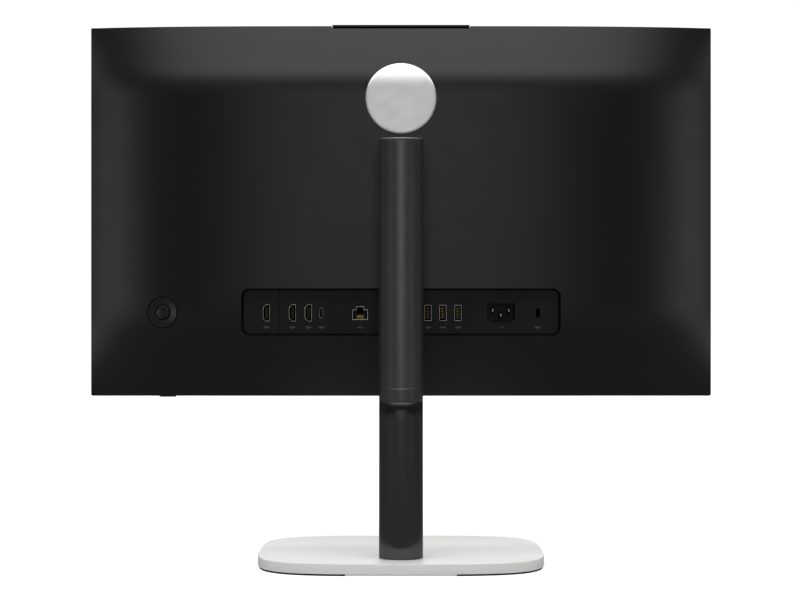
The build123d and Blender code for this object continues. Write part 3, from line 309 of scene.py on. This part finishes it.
def dress_cad_nodes():
    """Gives each CAD node the finish of its slot in the record, or the darkest plastic as painted
    shade.
    """
    for part in frame["record"]["subparts"]:
        mesh = frame["nodes"][part["node"]].data
        mesh.materials.clear()
        finish = PAINTED_SHADE if part["node"] in PAINTED_SHADE_NODES else SLOT_MATERIALS[part["material_slot"]]
        mesh.materials.append(finish)


# ------------------------------------------------------------------ mesh helpers
def add_piece(name, verts, faces, body, slot, material, replaces=(), smooth=True):
    """Mesh from millimetre points, riding on a body."""
    mesh = bpy.data.meshes.new(name)
    mesh.from_pydata([tuple(c * MM for c in v) for v in verts], [], faces)
    mesh.materials.append(material)
    piece = bpy.data.objects.new(name, mesh)
    bpy.context.scene.collection.objects.link(piece)
    tidy_mesh(mesh)
    for polygon in mesh.polygons:
        polygon.use_smooth = smooth
    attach(piece, body)
    if replaces:
        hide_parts(*replaces)
    return piece


def tidy_mesh(mesh):
    """Merges doubled points and turns all faces outward."""
    work = bmesh.new()
    work.from_mesh(mesh)
    bmesh.ops.remove_doubles(work, verts=work.verts, dist=0.000005)
    bmesh.ops.recalc_face_normals(work, faces=work.faces)
    work.to_mesh(mesh)
    work.free()


def soften(piece, width, segments=3, angle=35.0):
    """Rounds a piece's sharp edges by a few tenths of a millimetre."""
    modifier = piece.modifiers.new("edges", "BEVEL")
    modifier.width = width * MM
    modifier.segments = segments
    modifier.limit_method = "ANGLE"
    modifier.angle_limit = math.radians(angle)
    modifier.use_clamp_overlap = True
    modifier.harden_normals = True
    return piece


def thicken(piece, thickness, offset=-1.0):
    """Gives a sheet a wall."""
    modifier = piece.modifiers.new("wall", "SOLIDIFY")
    modifier.thickness = thickness * MM
    modifier.offset = offset
    modifier.use_even_offset = True
    return piece


def ring_faces(count, rings, close=False):
    """Quads between successive rings of count points."""
    faces = []
    for r in range(rings - (0 if close else 1)):
        low = r * count
        high = ((r + 1) % rings) * count
        for i in range(count):
            j = (i + 1) % count
            faces.append((low + i, low + j, high + j, high + i))
    return faces


def lathe(name, profile, place, body, slot, material, replaces=(), segments=192):
    """Turns a closed (radius, height) profile about an axis; place maps local points to the frame."""
    verts = []
    for radius, height in profile:
        for i in range(segments):
            angle = 2 * math.pi * i / segments
            verts.append(place @ Vector((radius * math.cos(angle), radius * math.sin(angle), height)))
    faces = ring_faces(segments, len(profile), close=True)
    return add_piece(name, verts, faces, body, slot, material, replaces)


def round_corner(x, y, radius, start, steps=5):
    """Points of a quarter circle, from an angle in degrees, anticlockwise."""
    points = []
    for i in range(steps + 1):
        angle = math.radians(start + 90 * i / steps)
        points.append((x + radius * math.cos(angle), y + radius * math.sin(angle)))
    return points


def rounded_outline(width, height, radius, steps=6):
    """Rounded rectangle, anticlockwise, about the origin."""
    a, b = width / 2 - radius, height / 2 - radius
    corners = [(a, b, 0), (-a, b, 90), (-a, -b, 180), (a, -b, 270)]
    points = []
    for x, y, start in corners:
        points += round_corner(x, y, radius, start, steps)
    return points


def boxes(name, corners, body, slot, material, edge=0.1, replaces=()):
    """Several boxes given by opposite corners, in one piece."""
    verts, faces = [], []
    for x0, x1, y0, y1, z0, z1 in corners:
        first = len(verts)
        verts += [(x, y, z) for z in (z0, z1) for x, y in ((x0, y0), (x1, y0), (x1, y1), (x0, y1))]
        sides = [(0, 1, 2, 3), (4, 7, 6, 5), (0, 4, 5, 1), (1, 5, 6, 2), (2, 6, 7, 3), (3, 7, 4, 0)]
        faces += [tuple(first + i for i in side) for side in sides]
    piece = add_piece(name, verts, faces, body, slot, material, replaces, smooth=False)
    return soften(piece, edge, 2)


# ------------------------------------------------------------------ back skin
def eased(distance, blend):
    """Zero below the break, then a curve over the blend length into a straight line."""
    if distance <= 0:
        return 0.0
    if distance < blend:
        return distance ** 2 / (2 * blend)
    return distance - blend / 2


def skin_y(x, z):
    """Y of the back skin at x across and z up."""
    across = 1 - abs(x / HEAD_HALF) ** 4
    drop_top = TOP_SLOPE * eased(z - HEAD_MID - TOP_BREAK, TOP_BLEND)
    drop_bottom = BOTTOM_SLOPE * eased(HEAD_MID - BOTTOM_BREAK - z, BOTTOM_BLEND)
    return COVER_EDGE_Y + (CROWN_Y - COVER_EDGE_Y - drop_top - drop_bottom) * across


def spaced(knots, steps):
    """Grid lines that pass through every knot, with the given step in each gap."""
    lines = []
    for low, high, step in zip(knots, knots[1:], steps):
        count = max(1, round((high - low) / step))
        lines += [low + (high - low) * i / count for i in range(count)]
    return lines + [knots[-1]]


class RoundedHole:
    """Rounded rectangular opening in a grid of (x, z) points."""

    def __init__(self, x, z, half_x, half_z, radius):
        self.x, self.z, self.half_x, self.half_z, self.radius = x, z, half_x, half_z, radius

    def distance(self, x, z):
        """Distance outside the outline, negative inside it."""
        dx = abs(x - self.x) - (self.half_x - self.radius)
        dz = abs(z - self.z) - (self.half_z - self.radius)
        outside = math.hypot(max(dx, 0), max(dz, 0))
        return outside + min(max(dx, dz), 0) - self.radius

    def snap(self, x, z):
        """Nearest point on the outline."""
        for _ in range(3):
            d = self.distance(x, z)
            h = 0.01
            gx = (self.distance(x + h, z) - self.distance(x - h, z)) / (2 * h)
            gz = (self.distance(x, z + h) - self.distance(x, z - h)) / (2 * h)
            x, z = x - d * gx, z - d * gz
        return x, z


def holed_grid(us, vs, holes):
    """Points and quads of a grid with openings cut to their outlines."""
    keep = {}
    for i in range(len(us) - 1):
        for j in range(len(vs) - 1):
            u, v = (us[i] + us[i + 1]) / 2, (vs[j] + vs[j + 1]) / 2
            keep[i, j] = all(hole.distance(u, v) > 0 for hole in holes)
    number, points, faces = {}, [], []

    def corner(i, j):
        if (i, j) not in number:
            u, v = us[i], vs[j]
            around = [(i - 1, j - 1), (i - 1, j), (i, j - 1), (i, j)]
            if not all(keep.get(cell, True) for cell in around):
                near = min(holes, key=lambda hole: abs(hole.distance(u, v)))
                u, v = near.snap(u, v)
            number[i, j] = len(points)
            points.append((u, v))
        return number[i, j]

    for (i, j), kept in keep.items():
        if kept:
            faces.append((corner(i, j), corner(i + 1, j), corner(i + 1, j + 1), corner(i, j + 1)))
    return points, faces


def back_skin():
    """Pillow-shaped back cover with its openings."""
    half = HEAD_HALF - COVER_INSET
    low, high = HEAD_BOTTOM + COVER_INSET, HEAD_TOP - COVER_INSET
    stick_low, stick_high = STICK_Z - STICK_RADIUS - 2, STICK_Z + STICK_RADIUS + 2
    recess_half = RECESS_WIDTH / 2
    stick_x = [STICK_X - STICK_RADIUS - 2, STICK_X + STICK_RADIUS + 2]
    right = [0, MOUNT_HALF_X - MOUNT_RADIUS, MOUNT_HALF_X, CAMERA_HALF + 0.4,
             recess_half - RECESS_RADIUS, recess_half, *stick_x, half - 6, half]
    right_steps = [4, 1, 4, 4, 1, 4, 1.3, 3, 1]
    knots = [-k for k in reversed(right[1:])] + right
    xs = spaced(knots, right_steps[::-1] + right_steps)
    recess_low, recess_high = RECESS_Z - RECESS_HEIGHT / 2, RECESS_Z + RECESS_HEIGHT / 2
    zs = spaced(
        [low, low + 6, recess_low, recess_low + RECESS_RADIUS, stick_low + 6, stick_high,
         recess_high, HEAD_MID - MOUNT_HALF_Z, HEAD_MID - MOUNT_HALF_Z + MOUNT_RADIUS,
         HEAD_MID + MOUNT_HALF_Z - MOUNT_RADIUS, HEAD_MID + MOUNT_HALF_Z, HEAD_TOP - 2.6, high],
        [1, 3, 1, 1.3, 1.3, 1, 4, 1, 4, 1, 3, 0.6],
    )
    holes = [
        RoundedHole(0, RECESS_Z, recess_half, RECESS_HEIGHT / 2, RECESS_RADIUS),
        RoundedHole(0, HEAD_MID, MOUNT_HALF_X, MOUNT_HALF_Z, MOUNT_RADIUS),
        RoundedHole(STICK_X, STICK_Z, STICK_RADIUS * math.cos(STICK_YAW), STICK_RADIUS, 13.2),
        RoundedHole(0, high + 10, CAMERA_HALF + 0.4, 12.2, 0.01),
    ]
    points, faces = holed_grid(xs, zs, holes)
    verts = [(x, skin_y(x, z), z) for x, z in points]
    piece = add_piece("back_skin", verts, faces, "head", "cover_skin", COVER, ["rear_cover"])
    close_rim(piece.data, half, low, high)
    thicken(piece, COVER_WALL)
    return soften(piece, 0.45, 3)


def close_rim(mesh, half, low, high):
    """Adds the outer wall that runs from the skin's edge to the seam with the bezel."""
    work = bmesh.new()
    work.from_mesh(mesh)

    def outer(vert):
        x, z = vert.co.x / MM, vert.co.z / MM
        return abs(abs(x) - half) < 0.01 or abs(z - low) < 0.01 or z > high - 2.3

    rim = [e for e in work.edges if e.is_boundary and all(outer(v) for v in e.verts)]
    made = bmesh.ops.extrude_edge_only(work, edges=rim)
    for vert in made["geom"]:
        if isinstance(vert, bmesh.types.BMVert):
            vert.co.y = SEAM_Y * MM
    bmesh.ops.recalc_face_normals(work, faces=work.faces)
    work.to_mesh(mesh)
    work.free()
    for polygon in mesh.polygons:
        polygon.use_smooth = True


def badge_disc():
    """Plain polished disc that follows the back skin."""
    verts, steps, segments = [], 14, 128
    rings = [(BADGE_RADIUS * i / steps, BADGE_THICK) for i in range(1, steps)]
    rings += [(BADGE_RADIUS - BADGE_BEVEL, BADGE_THICK), (BADGE_RADIUS - 0.03, BADGE_THICK - 0.04)]
    rings += [(BADGE_RADIUS, BADGE_THICK - BADGE_BEVEL), (BADGE_RADIUS, 0.0)]
    for radius, lift in rings:
        for i in range(segments):
            angle = 2 * math.pi * i / segments
            x, z = radius * math.cos(angle), BADGE_Z + radius * math.sin(angle)
            verts.append((x, skin_y(x, z) + lift, z))
    faces = ring_faces(segments, len(rings))
    faces.append(tuple(range(segments)))
    last = (len(rings) - 1) * segments
    faces.append(tuple(range(last + segments - 1, last - 1, -1)))
    return add_piece("badge_disc", verts, faces, "head", "polished", BADGE, ["badge"])


# ------------------------------------------------------------------ column
def column_place():
    """Maps lathe points to the column's axis."""
    return Matrix.Translation((0, COLUMN_Y, 0))


def tube_profile(low, high, low_edge=0.25, high_edge=0.25):
    """Closed profile of a tube with softened outer ends."""
    r, bore = COLUMN_RADIUS, COLUMN_BORE
    outer = [(r - low_edge, low)]
    outer += [(r, low + low_edge)]
    steps = 10
    straight = high - low - low_edge - high_edge
    outer += [(r, low + low_edge + straight * i / steps) for i in range(1, steps)]
    outer += [(r, high - high_edge), (r - high_edge, high)]
    return outer + [(bore, high), (bore, low)]


def column_pieces():
    """Lower tube, glossy collar and rounded cap."""
    place = column_place()
    lathe("lower_tube", tube_profile(BASE_TOP + 0.4, COLLAR_BOTTOM), place, "column",
          "column_skin", LOWER_COLUMN_SHADED, ["lower_column_shell"])
    lathe("collar_ring", tube_profile(COLLAR_BOTTOM + 0.05, COLLAR_TOP), place, "column",
          "collar_skin", COLLAR, ["column_collar"])
    low, edge = COLUMN_TOP - 2.75, 1.4
    cap = [(0.01, COLUMN_TOP)]
    for i in range(7):
        angle = math.radians(90 - 15 * i)
        cap.append((COLUMN_RADIUS - edge + edge * math.cos(angle),
                    COLUMN_TOP - edge + edge * math.sin(angle)))
    cap += [(COLUMN_RADIUS, low + 0.2), (COLUMN_RADIUS - 0.2, low), (COLUMN_BORE, low)]
    cap += [(COLUMN_BORE, low - 3.5), (0.01, low - 3.5)]
    lathe("top_cap", cap, place, "column", "column_skin", COLUMN, ["column_top_cap"])


def upper_tube():
    """Upper tube with the slot that the neck travels in."""
    low, high = COLLAR_TOP + 0.6, COLUMN_TOP - 2.8
    arc = COLUMN_RADIUS * math.asin(SLOT_HALF / COLUMN_RADIUS)
    half_round = math.pi * COLUMN_RADIUS
    us = spaced([-half_round, -arc, -arc + 2, arc - 2, arc, half_round], [0.9, 0.5, 1, 0.5, 0.9])
    vs = spaced([low, SLOT_LOW, SLOT_LOW + 2, SLOT_HIGH - 2, SLOT_HIGH, high], [4, 0.5, 4, 0.5, 4])
    slot = RoundedHole(0, (SLOT_LOW + SLOT_HIGH) / 2, arc, (SLOT_HIGH - SLOT_LOW) / 2, 1.5)
    points, faces = holed_grid(us, vs, [slot])
    verts = []
    for u, z in points:
        angle = u / COLUMN_RADIUS
        verts.append((COLUMN_RADIUS * math.sin(angle), COLUMN_Y - COLUMN_RADIUS * math.cos(angle), z))
    piece = add_piece("upper_tube", verts, faces, "column", "column_skin", COLUMN,
                      ["upper_column_shell"])
    thicken(piece, COLUMN_RADIUS - COLUMN_BORE)
    return soften(piece, 0.25, 2)


# ------------------------------------------------------------------ base
def squircle(inset, steps=288):
    """Points of the base outline drawn in by inset."""
    width, depth = BASE_WIDTH - 2 * inset, BASE_DEPTH - 2 * inset
    points = []
    for i in range(steps):
        angle = 2 * math.pi * i / steps
        along = abs(math.cos(angle) * 2 / width) ** 4
        across = abs(math.sin(angle) * 2 / depth) ** 4
        radius = (along + across) ** -0.25
        points.append((radius * math.cos(angle), radius * math.sin(angle)))
    return points


def base_casting():
    """Silver base with a rounded top edge and a pocket underneath."""
    edge = 0.8
    rings = [(6.0, 6.0), (6.0, FOOT), (0.5, FOOT), (0.15, FOOT + 0.15), (0.0, FOOT + 0.5)]
    for i in range(8):
        angle = math.radians(90 * i / 7)
        rings.append((edge - edge * math.cos(angle), BASE_TOP - edge + edge * math.sin(angle)))
    rings += [(3.0, BASE_TOP), (20.0, BASE_TOP), (45.0, BASE_TOP)]
    count = len(squircle(0))
    verts = []
    for inset, z in rings:
        verts += [(x, y, z) for x, y in squircle(inset)]
    faces = ring_faces(count, len(rings))
    last = (len(rings) - 1) * count
    faces += [tuple(range(count)), tuple(range(last + count - 1, last - 1, -1))]
    return add_piece("base_casting", verts, faces, "base", "silver_paint", SILVER, ["base_plate"])


# ------------------------------------------------------------------ control stick
def stick_place():
    """Maps lathe points to the stick's axis, with local Z pointing out of the back."""
    out = Vector((math.sin(STICK_YAW), math.cos(STICK_YAW), 0))
    along = Vector((math.cos(STICK_YAW), -math.sin(STICK_YAW), 0))
    up = out.cross(along)
    turn = Matrix((along, up, out)).transposed().to_4x4()
    return Matrix.Translation((STICK_X, skin_y(STICK_X, STICK_Z), STICK_Z)) @ turn


def stick_pieces():
    """Dished ring and domed nub."""
    dish, steps = [(STICK_HOLE, -4.4)], 10
    edge = STICK_RADIUS - STICK_GROOVE
    bowl = math.sqrt(DISH_SPHERE ** 2 - (edge - 0.5) ** 2) - 0.12
    for i in range(steps + 1):
        radius = STICK_HOLE + (edge - 0.5 - STICK_HOLE) * i / steps
        dish.append((radius, bowl - math.sqrt(DISH_SPHERE ** 2 - radius ** 2)))
    dish += [(edge - 0.25, -0.1), (edge - 0.07, -0.2), (edge, -0.45), (edge, -3.5)]
    dish += [(STICK_RADIUS - 0.05, -3.5), (STICK_RADIUS - 0.05, -4.4)]
    lathe("stick_dish", dish, stick_place(), "head", "cover_skin", COVER, ["control_ring"])
    nub = [(0.01, 0.4)]
    for i in range(1, 9):
        radius = (STICK_NUB - 0.4) * i / 8
        nub.append((radius, 0.4 - NUB_SPHERE + math.sqrt(NUB_SPHERE ** 2 - radius ** 2)))
    nub += [(STICK_NUB - 0.12, -0.25), (STICK_NUB, -0.55), (STICK_NUB, -3.5)]
    nub += [(2.0, -3.6), (2.0, -12.9), (0.01, -13.0)]
    lathe("stick_nub_cap", nub, stick_place(), "stick_nub", "cover_skin", COVER, ["stick_cap"])


# ------------------------------------------------------------------ camera strip
def camera_strip():
    """Rounded strip along the top of the pop-up camera."""
    top = HEAD_TOP + 1.0
    back = CAMERA_BACK + 2.6
    middle = (CAMERA_FRONT + back) / 2
    outline = rounded_outline(2 * CAMERA_HALF, back - CAMERA_FRONT, 0.9, 4)
    count = len(outline)
    verts = [(x, middle + y, z) for z in (top - 1.7, top) for x, y in outline]
    faces = ring_faces(count, 2)
    faces += [tuple(range(count)), tuple(range(2 * count - 1, count - 1, -1))]
    piece = add_piece("camera_strip", verts, faces, "camera", "cover_skin", COVER,
                      ["camera_cap"], smooth=False)
    return soften(piece, 0.35, 3)


# ------------------------------------------------------------------ sockets
def video_shape(grow):
    """Upright video socket outline, narrower on its outer side."""
    w, h = 3.0 + grow, 7.35 + grow
    return [(-w, -h), (0.6, -h), (w, 2.6 - h), (w, h - 2.6), (0.6, h), (-w, h)]


def usb_a_shape(grow):
    """Upright rectangular socket outline."""
    return rounded_outline(6.2 + 2 * grow, 13.6 + 2 * grow, 0.6 + max(grow, -0.4), 3)


def usb_c_shape(grow):
    """Upright socket outline with round ends."""
    width = 3.2 + 2 * grow
    return rounded_outline(width, 9.0 + 2 * grow, width / 2 - 0.02, 8)


def network_shape(grow):
    """Network socket outline with a narrower step on top."""
    w, step_w = 6.65 + grow, 3.5 + grow
    low, step, high = -5.9 - grow, 2.9 + grow, 5.65 + grow
    left = [(-w, low), (-w, step), (-step_w, step), (-step_w, high)]
    return left + [(-u, v) for u, v in reversed(left)]


# Outline, place and wall thickness of each socket's shell.
SHELL_WALL, USB_C_WALL, NETWORK_WALL = 0.42, 0.35, 0.5
SOCKETS = [(video_shape, x, SHELL_WALL) for x in VIDEO_XS]
SOCKETS += [(usb_a_shape, x, SHELL_WALL) for x in USB_A_XS]
SOCKETS += [(usb_c_shape, USB_C_X, USB_C_WALL), (network_shape, NETWORK_X, NETWORK_WALL)]
SOCKET_BACK, SOCKET_FLOOR = -25.4, -22.4


def sleeve(outer, inner, x, y0, y1):
    """Points and quads of an open sleeve between two outlines of as many points."""
    count = len(outer)
    rings = [(outer, y0), (outer, y1), (inner, y1), (inner, y0)]
    verts = [(x + u, y, PORT_Z + v) for ring, y in rings for u, v in ring]
    return verts, ring_faces(count, 4, close=True)


def joined(parts):
    """One list of points and one of faces from several."""
    verts, faces = [], []
    for more_verts, more_faces in parts:
        first = len(verts)
        verts += more_verts
        faces += [tuple(first + i for i in face) for face in more_faces]
    return verts, faces


def socket_shells():
    """Bright metal shells of all the sockets."""
    parts = [sleeve(shape(0), shape(-wall), x, SOCKET_BACK, SOCKET_LIP) for shape, x, wall in SOCKETS]
    nodes = ["video_sockets", "usb_a_sockets", "usb_c_socket", "network_socket"]
    piece = add_piece("socket_shells", *joined(parts), "head", "bright_steel", SOCKET_METAL, nodes,
                      smooth=False)
    return soften(piece, 0.12, 2)


def socket_liners():
    """Black plastic cup inside each shell, made near-black as painted shade for the dark inside of
    the socket.
    """
    parts = []
    for shape, x, wall in SOCKETS:
        outer, inner = shape(-wall - 0.01), shape(-wall - 0.2)
        parts.append(sleeve(outer, inner, x, SOCKET_FLOOR, SOCKET_LIP - 0.5))
        count = len(outer)
        verts = [(x + u, y, PORT_Z + v) for y in (SOCKET_FLOOR - 1, SOCKET_FLOOR) for u, v in outer]
        faces = ring_faces(count, 2)
        faces += [tuple(range(count)), tuple(range(2 * count - 1, count - 1, -1))]
        parts.append((verts, faces))
    return add_piece("socket_liners", *joined(parts), "head", "black_plastic", PAINTED_SHADE, smooth=False)


def bars(x, z, count, pitch, across, up, y0, y1, flat=False):
    """Corners of a row of like bars, stacked upward or laid across."""
    corners = []
    for i in range(count):
        step = (i - (count - 1) / 2) * pitch
        u, v = (x + step, z) if flat else (x, z + step)
        corners.append((u - across / 2, u + across / 2, y0, y1, v - up / 2, v + up / 2))
    return corners


def socket_insides():
    """Contact tongues and gold contacts."""
    tongues, gold = [], []
    for x in VIDEO_XS:
        tongues.append((x - 0.7, x + 0.7, SOCKET_FLOOR, SOCKET_LIP - 2.0, PORT_Z - 5.2, PORT_Z + 5.2))
        gold += bars(x + 0.78, PORT_Z, 10, 1.0, 0.16, 0.55, SOCKET_FLOOR, SOCKET_LIP - 2.3)
        gold += bars(x - 0.78, PORT_Z, 9, 1.0, 0.16, 0.55, SOCKET_FLOOR, SOCKET_LIP - 2.3)
    for x in USB_A_XS:
        tongues.append((x - 2.0, x - 0.2, SOCKET_FLOOR, SOCKET_LIP - 1.5, PORT_Z - 5.6, PORT_Z + 5.6))
        gold += bars(x - 0.05, PORT_Z, 4, 2.5, 0.3, 1.0, SOCKET_FLOOR, SOCKET_LIP - 2.2)
        gold += bars(x + 0.6, PORT_Z, 4, 2.5, 1.0, 1.0, SOCKET_LIP - 5.0, SOCKET_LIP - 4.4)
    tongues.append((USB_C_X - 0.35, USB_C_X + 0.35, SOCKET_FLOOR, SOCKET_LIP - 1.0,
                    PORT_Z - 3.2, PORT_Z + 3.2))
    front = SOCKET_LIP - 2.6
    for side in (-1, 1):
        x0, x1 = sorted((NETWORK_X + side * 3.05, NETWORK_X + side * 4.9))
        tongues.append((x0, x1, SOCKET_FLOOR, front, PORT_Z - 4.7, PORT_Z + 2.0))
    tongues.append((NETWORK_X - 3.1, NETWORK_X + 3.1, SOCKET_FLOOR, front - 0.4,
                    PORT_Z - 4.7, PORT_Z - 0.6))
    gold += bars(NETWORK_X, PORT_Z - 3.3, 8, 1.02, 0.6, 2.6, front - 1.0, front, flat=True)
    boxes("socket_tongues", tongues, "head", "black_plastic", MATTE, 0.12)
    boxes("socket_contacts", gold, "head", "gold", GOLD_SHADED, 0.04)


def inlet_blades():
    """Three flat blades with narrowed tips, each in a near-black collar painted as shade for its
    hole.
    """
    verts, faces = [], []
    collars = []
    for u, v in BLADE_PLACES:
        x, z = INLET_X + u, PORT_Z + v
        first = len(verts)
        for y, w, h in BLADE_RINGS:
            verts += [(x + a * w, y, z + b * h) for a, b in ((-1, -1), (1, -1), (1, 1), (-1, 1))]
        faces += [tuple(first + i for i in face) for face in ring_faces(4, 4)]
        faces += [tuple(first + i for i in (0, 1, 2, 3)), tuple(first + i for i in (15, 14, 13, 12))]
        outer, inner = rounded_outline(3.4, 6.4, 1.65, 6), rounded_outline(2.2, 4.2, 0.2, 6)
        collars.append(sleeve([(a, b + v) for a, b in outer], [(a, b + v) for a, b in inner],
                              x, COLLAR_BACK, COLLAR_FRONT))
    blades = add_piece("inlet_blades", verts, faces, "head", "bright_steel", STEEL, ["inlet_pins"],
                       smooth=False)
    soften(blades, 0.15, 2)
    return add_piece("blade_collars", *joined(collars), "head", "black_plastic", PAINTED_SHADE, smooth=False)


def lock_slot_shade():
    """Near-black wall behind the security slot, painted shade for the dark inside of the slot."""
    back = PANEL_Y - LOCK_SHADE_DEPTH
    wall = (LOCK_X - LOCK_SHADE_HALF_X, LOCK_X + LOCK_SHADE_HALF_X, back, back + 0.5,
            PORT_Z - LOCK_SHADE_HALF_Z, PORT_Z + LOCK_SHADE_HALF_Z)
    return boxes("lock_slot_shade", [wall], "head", "black_plastic", PAINTED_SHADE, 0.05)


def port_marks():
    """Small printed marks under the ports, bars and dots with no lettering."""
    y0, y1 = PANEL_Y - 0.02, PANEL_Y + 0.05
    z = PORT_Z - MARK_DROP
    marks = []
    for x in VIDEO_XS + USB_A_XS + (USB_C_X, NETWORK_X, LOCK_X):
        marks.append((x - MARK_HALF, x + MARK_HALF, y0, y1, z - 0.3, z + 0.3))
        marks.append((x - 0.5, x + 0.5, y0, y1, z - 1.6, z - 1.0))
    for side in (-1, 1):
        marks.append((INLET_X + side * 1.3 - 1.0, INLET_X + side * 1.3 + 1.0, y0, y1,
                      z - 0.2 + side * 0.3, z + 0.2 + side * 0.3))
    return boxes("port_marks", marks, "head", "black_plastic", PRINT, 0.02)


# ------------------------------------------------------------------ stage
def pale_floor():
    """Pale floor: white to the camera with a faint contact shadow, dimmer in reflections."""
    material, tree, shader, coordinates = new_material("floor_pale")
    material.cycles.emission_sampling = "NONE"
    tone = ramp(tree, noise(tree, coordinates, 2.0), [(0.3, 0.86), (0.7, 0.88)])
    tree.links.new(tone, shader.inputs["Base Color"])
    shader.inputs["Roughness"].default_value = 0.9
    away = tree.nodes.new("ShaderNodeVectorMath")
    away.operation = "LENGTH"
    tree.links.new(coordinates, away.inputs[0])
    spread = tree.nodes.new("ShaderNodeMapRange")
    spread.inputs["From Min"].default_value = 0.2
    spread.inputs["From Max"].default_value = 1.6
    spread.inputs["To Min"].default_value = 0.45
    spread.inputs["To Max"].default_value = 1.05
    tree.links.new(away.outputs["Value"], spread.inputs["Value"])
    glow = tree.nodes.new("ShaderNodeEmission")
    tree.links.new(spread.outputs["Result"], glow.inputs["Strength"])
    seen = tree.nodes.new("ShaderNodeAddShader")
    tree.links.new(shader.outputs["BSDF"], seen.inputs[0])
    tree.links.new(glow.outputs["Emission"], seen.inputs[1])
    dim = tree.nodes.new("ShaderNodeBsdfDiffuse")
    dim.inputs["Color"].default_value = (FLOOR_MIRRORED, FLOOR_MIRRORED, FLOOR_MIRRORED, 1)
    path = tree.nodes.new("ShaderNodeLightPath")
    mirrored = tree.nodes.new("ShaderNodeMixShader")
    tree.links.new(path.outputs["Is Glossy Ray"], mirrored.inputs["Fac"])
    tree.links.new(shader.outputs["BSDF"], mirrored.inputs[1])
    tree.links.new(dim.outputs["BSDF"], mirrored.inputs[2])
    mix = tree.nodes.new("ShaderNodeMixShader")
    tree.links.new(path.outputs["Is Camera Ray"], mix.inputs["Fac"])
    tree.links.new(mirrored.outputs["Shader"], mix.inputs[1])
    tree.links.new(seen.outputs["Shader"], mix.inputs[2])
    tree.links.new(mix.outputs["Shader"], tree.nodes["Material Output"].inputs["Surface"])
    mesh = bpy.data.meshes.new("floor")
    reach = 60.0
    mesh.from_pydata([(-reach, -reach, 0), (reach, -reach, 0), (reach, reach, 0), (-reach, reach, 0)],
                     [], [(0, 1, 2, 3)])
    mesh.materials.append(material)
    floor = bpy.data.objects.new("floor", mesh)
    bpy.context.scene.collection.objects.link(floor)


def white_world():
    """White to the camera, dim to everything else."""
    world = bpy.data.worlds.new("studio")
    bpy.context.scene.world = world
    world.use_nodes = True
    tree = world.node_tree
    seen = tree.nodes["Background"]
    seen.inputs["Color"].default_value = (1, 1, 1, 1)
    seen.inputs["Strength"].default_value = 1.05
    dim = tree.nodes.new("ShaderNodeBackground")
    dim.inputs["Color"].default_value = (1, 1, 1, 1)
    dim.inputs["Strength"].default_value = WORLD_DIM
    path = tree.nodes.new("ShaderNodeLightPath")
    mix = tree.nodes.new("ShaderNodeMixShader")
    tree.links.new(path.outputs["Is Camera Ray"], mix.inputs["Fac"])
    tree.links.new(dim.outputs["Background"], mix.inputs[1])
    tree.links.new(seen.outputs["Background"], mix.inputs[2])
    tree.links.new(mix.outputs["Shader"], tree.nodes["World Output"].inputs["Surface"])


def soft_light(name, place, aim, width, height, power, spread=180):
    """Rectangular softbox aimed at a point and hidden from the camera itself."""
    data = bpy.data.lights.new(name, "AREA")
    data.shape = "RECTANGLE"
    data.size, data.size_y, data.energy = width, height, power
    data.spread = math.radians(spread)
    light = bpy.data.objects.new(name, data)
    light.location = place
    light.visible_camera = False
    direction = Vector(aim) - Vector(place)
    light.rotation_euler = direction.to_track_quat("-Z", "Y").to_euler()
    bpy.context.scene.collection.objects.link(light)


def studio_lights():
    """Softboxes over, behind and beside the computer, and one in front of its screen."""
    soft_light("overhead", (0, 0.9, 2.3), (0, 0.9, 0), 4.2, 3.4, OVERHEAD_POWER)
    soft_light("behind_camera", (0, 3.2, 0.6), (0, 0, 0.3), 0.9, 1.4, BEHIND_CAMERA_POWER)
    for side in (-1, 1):
        soft_light(f"side_{side + 1}", (side * 1.08, 0.65, 0.3), (side * 0.262, -0.02, 0.28),
                   0.3, 1.1, SIDE_POWER, SIDE_SPREAD)
        soft_light(f"edge_{side + 1}", (side * 2.5, -0.95, 0.5), (0, 0, 0.3), 1.3, 1.6, EDGE_POWER)
    soft_light("front_fill", (0, -3.0, 1.2), (0, 0, 0.3), 2.4, 1.6, FRONT_FILL_POWER)


def photo_camera():
    """Camera level with the lower third of the screen, behind the computer."""
    data = bpy.data.cameras.new("photo")
    data.lens = LENS
    data.sensor_width = SENSOR
    data.shift_x = LENS_SHIFT
    camera = bpy.data.objects.new("photo", data)
    camera.location = CAMERA_PLACE
    camera.rotation_euler = (math.radians(90), 0, math.radians(180))
    bpy.context.scene.collection.objects.link(camera)
    bpy.context.scene.camera = camera


dress_cad_nodes()
back_skin()
badge_disc()
column_pieces()
upper_tube()
base_casting()
stick_pieces()
camera_strip()
socket_shells()
socket_liners()
socket_insides()
inlet_blades()
lock_slot_shade()
lock_slot_shade()  # called twice, so two like pieces lie in the same place
port_marks()
pale_floor()
white_world()
studio_lights()
photo_camera()
bpy.context.scene.view_settings.view_transform = "Standard"
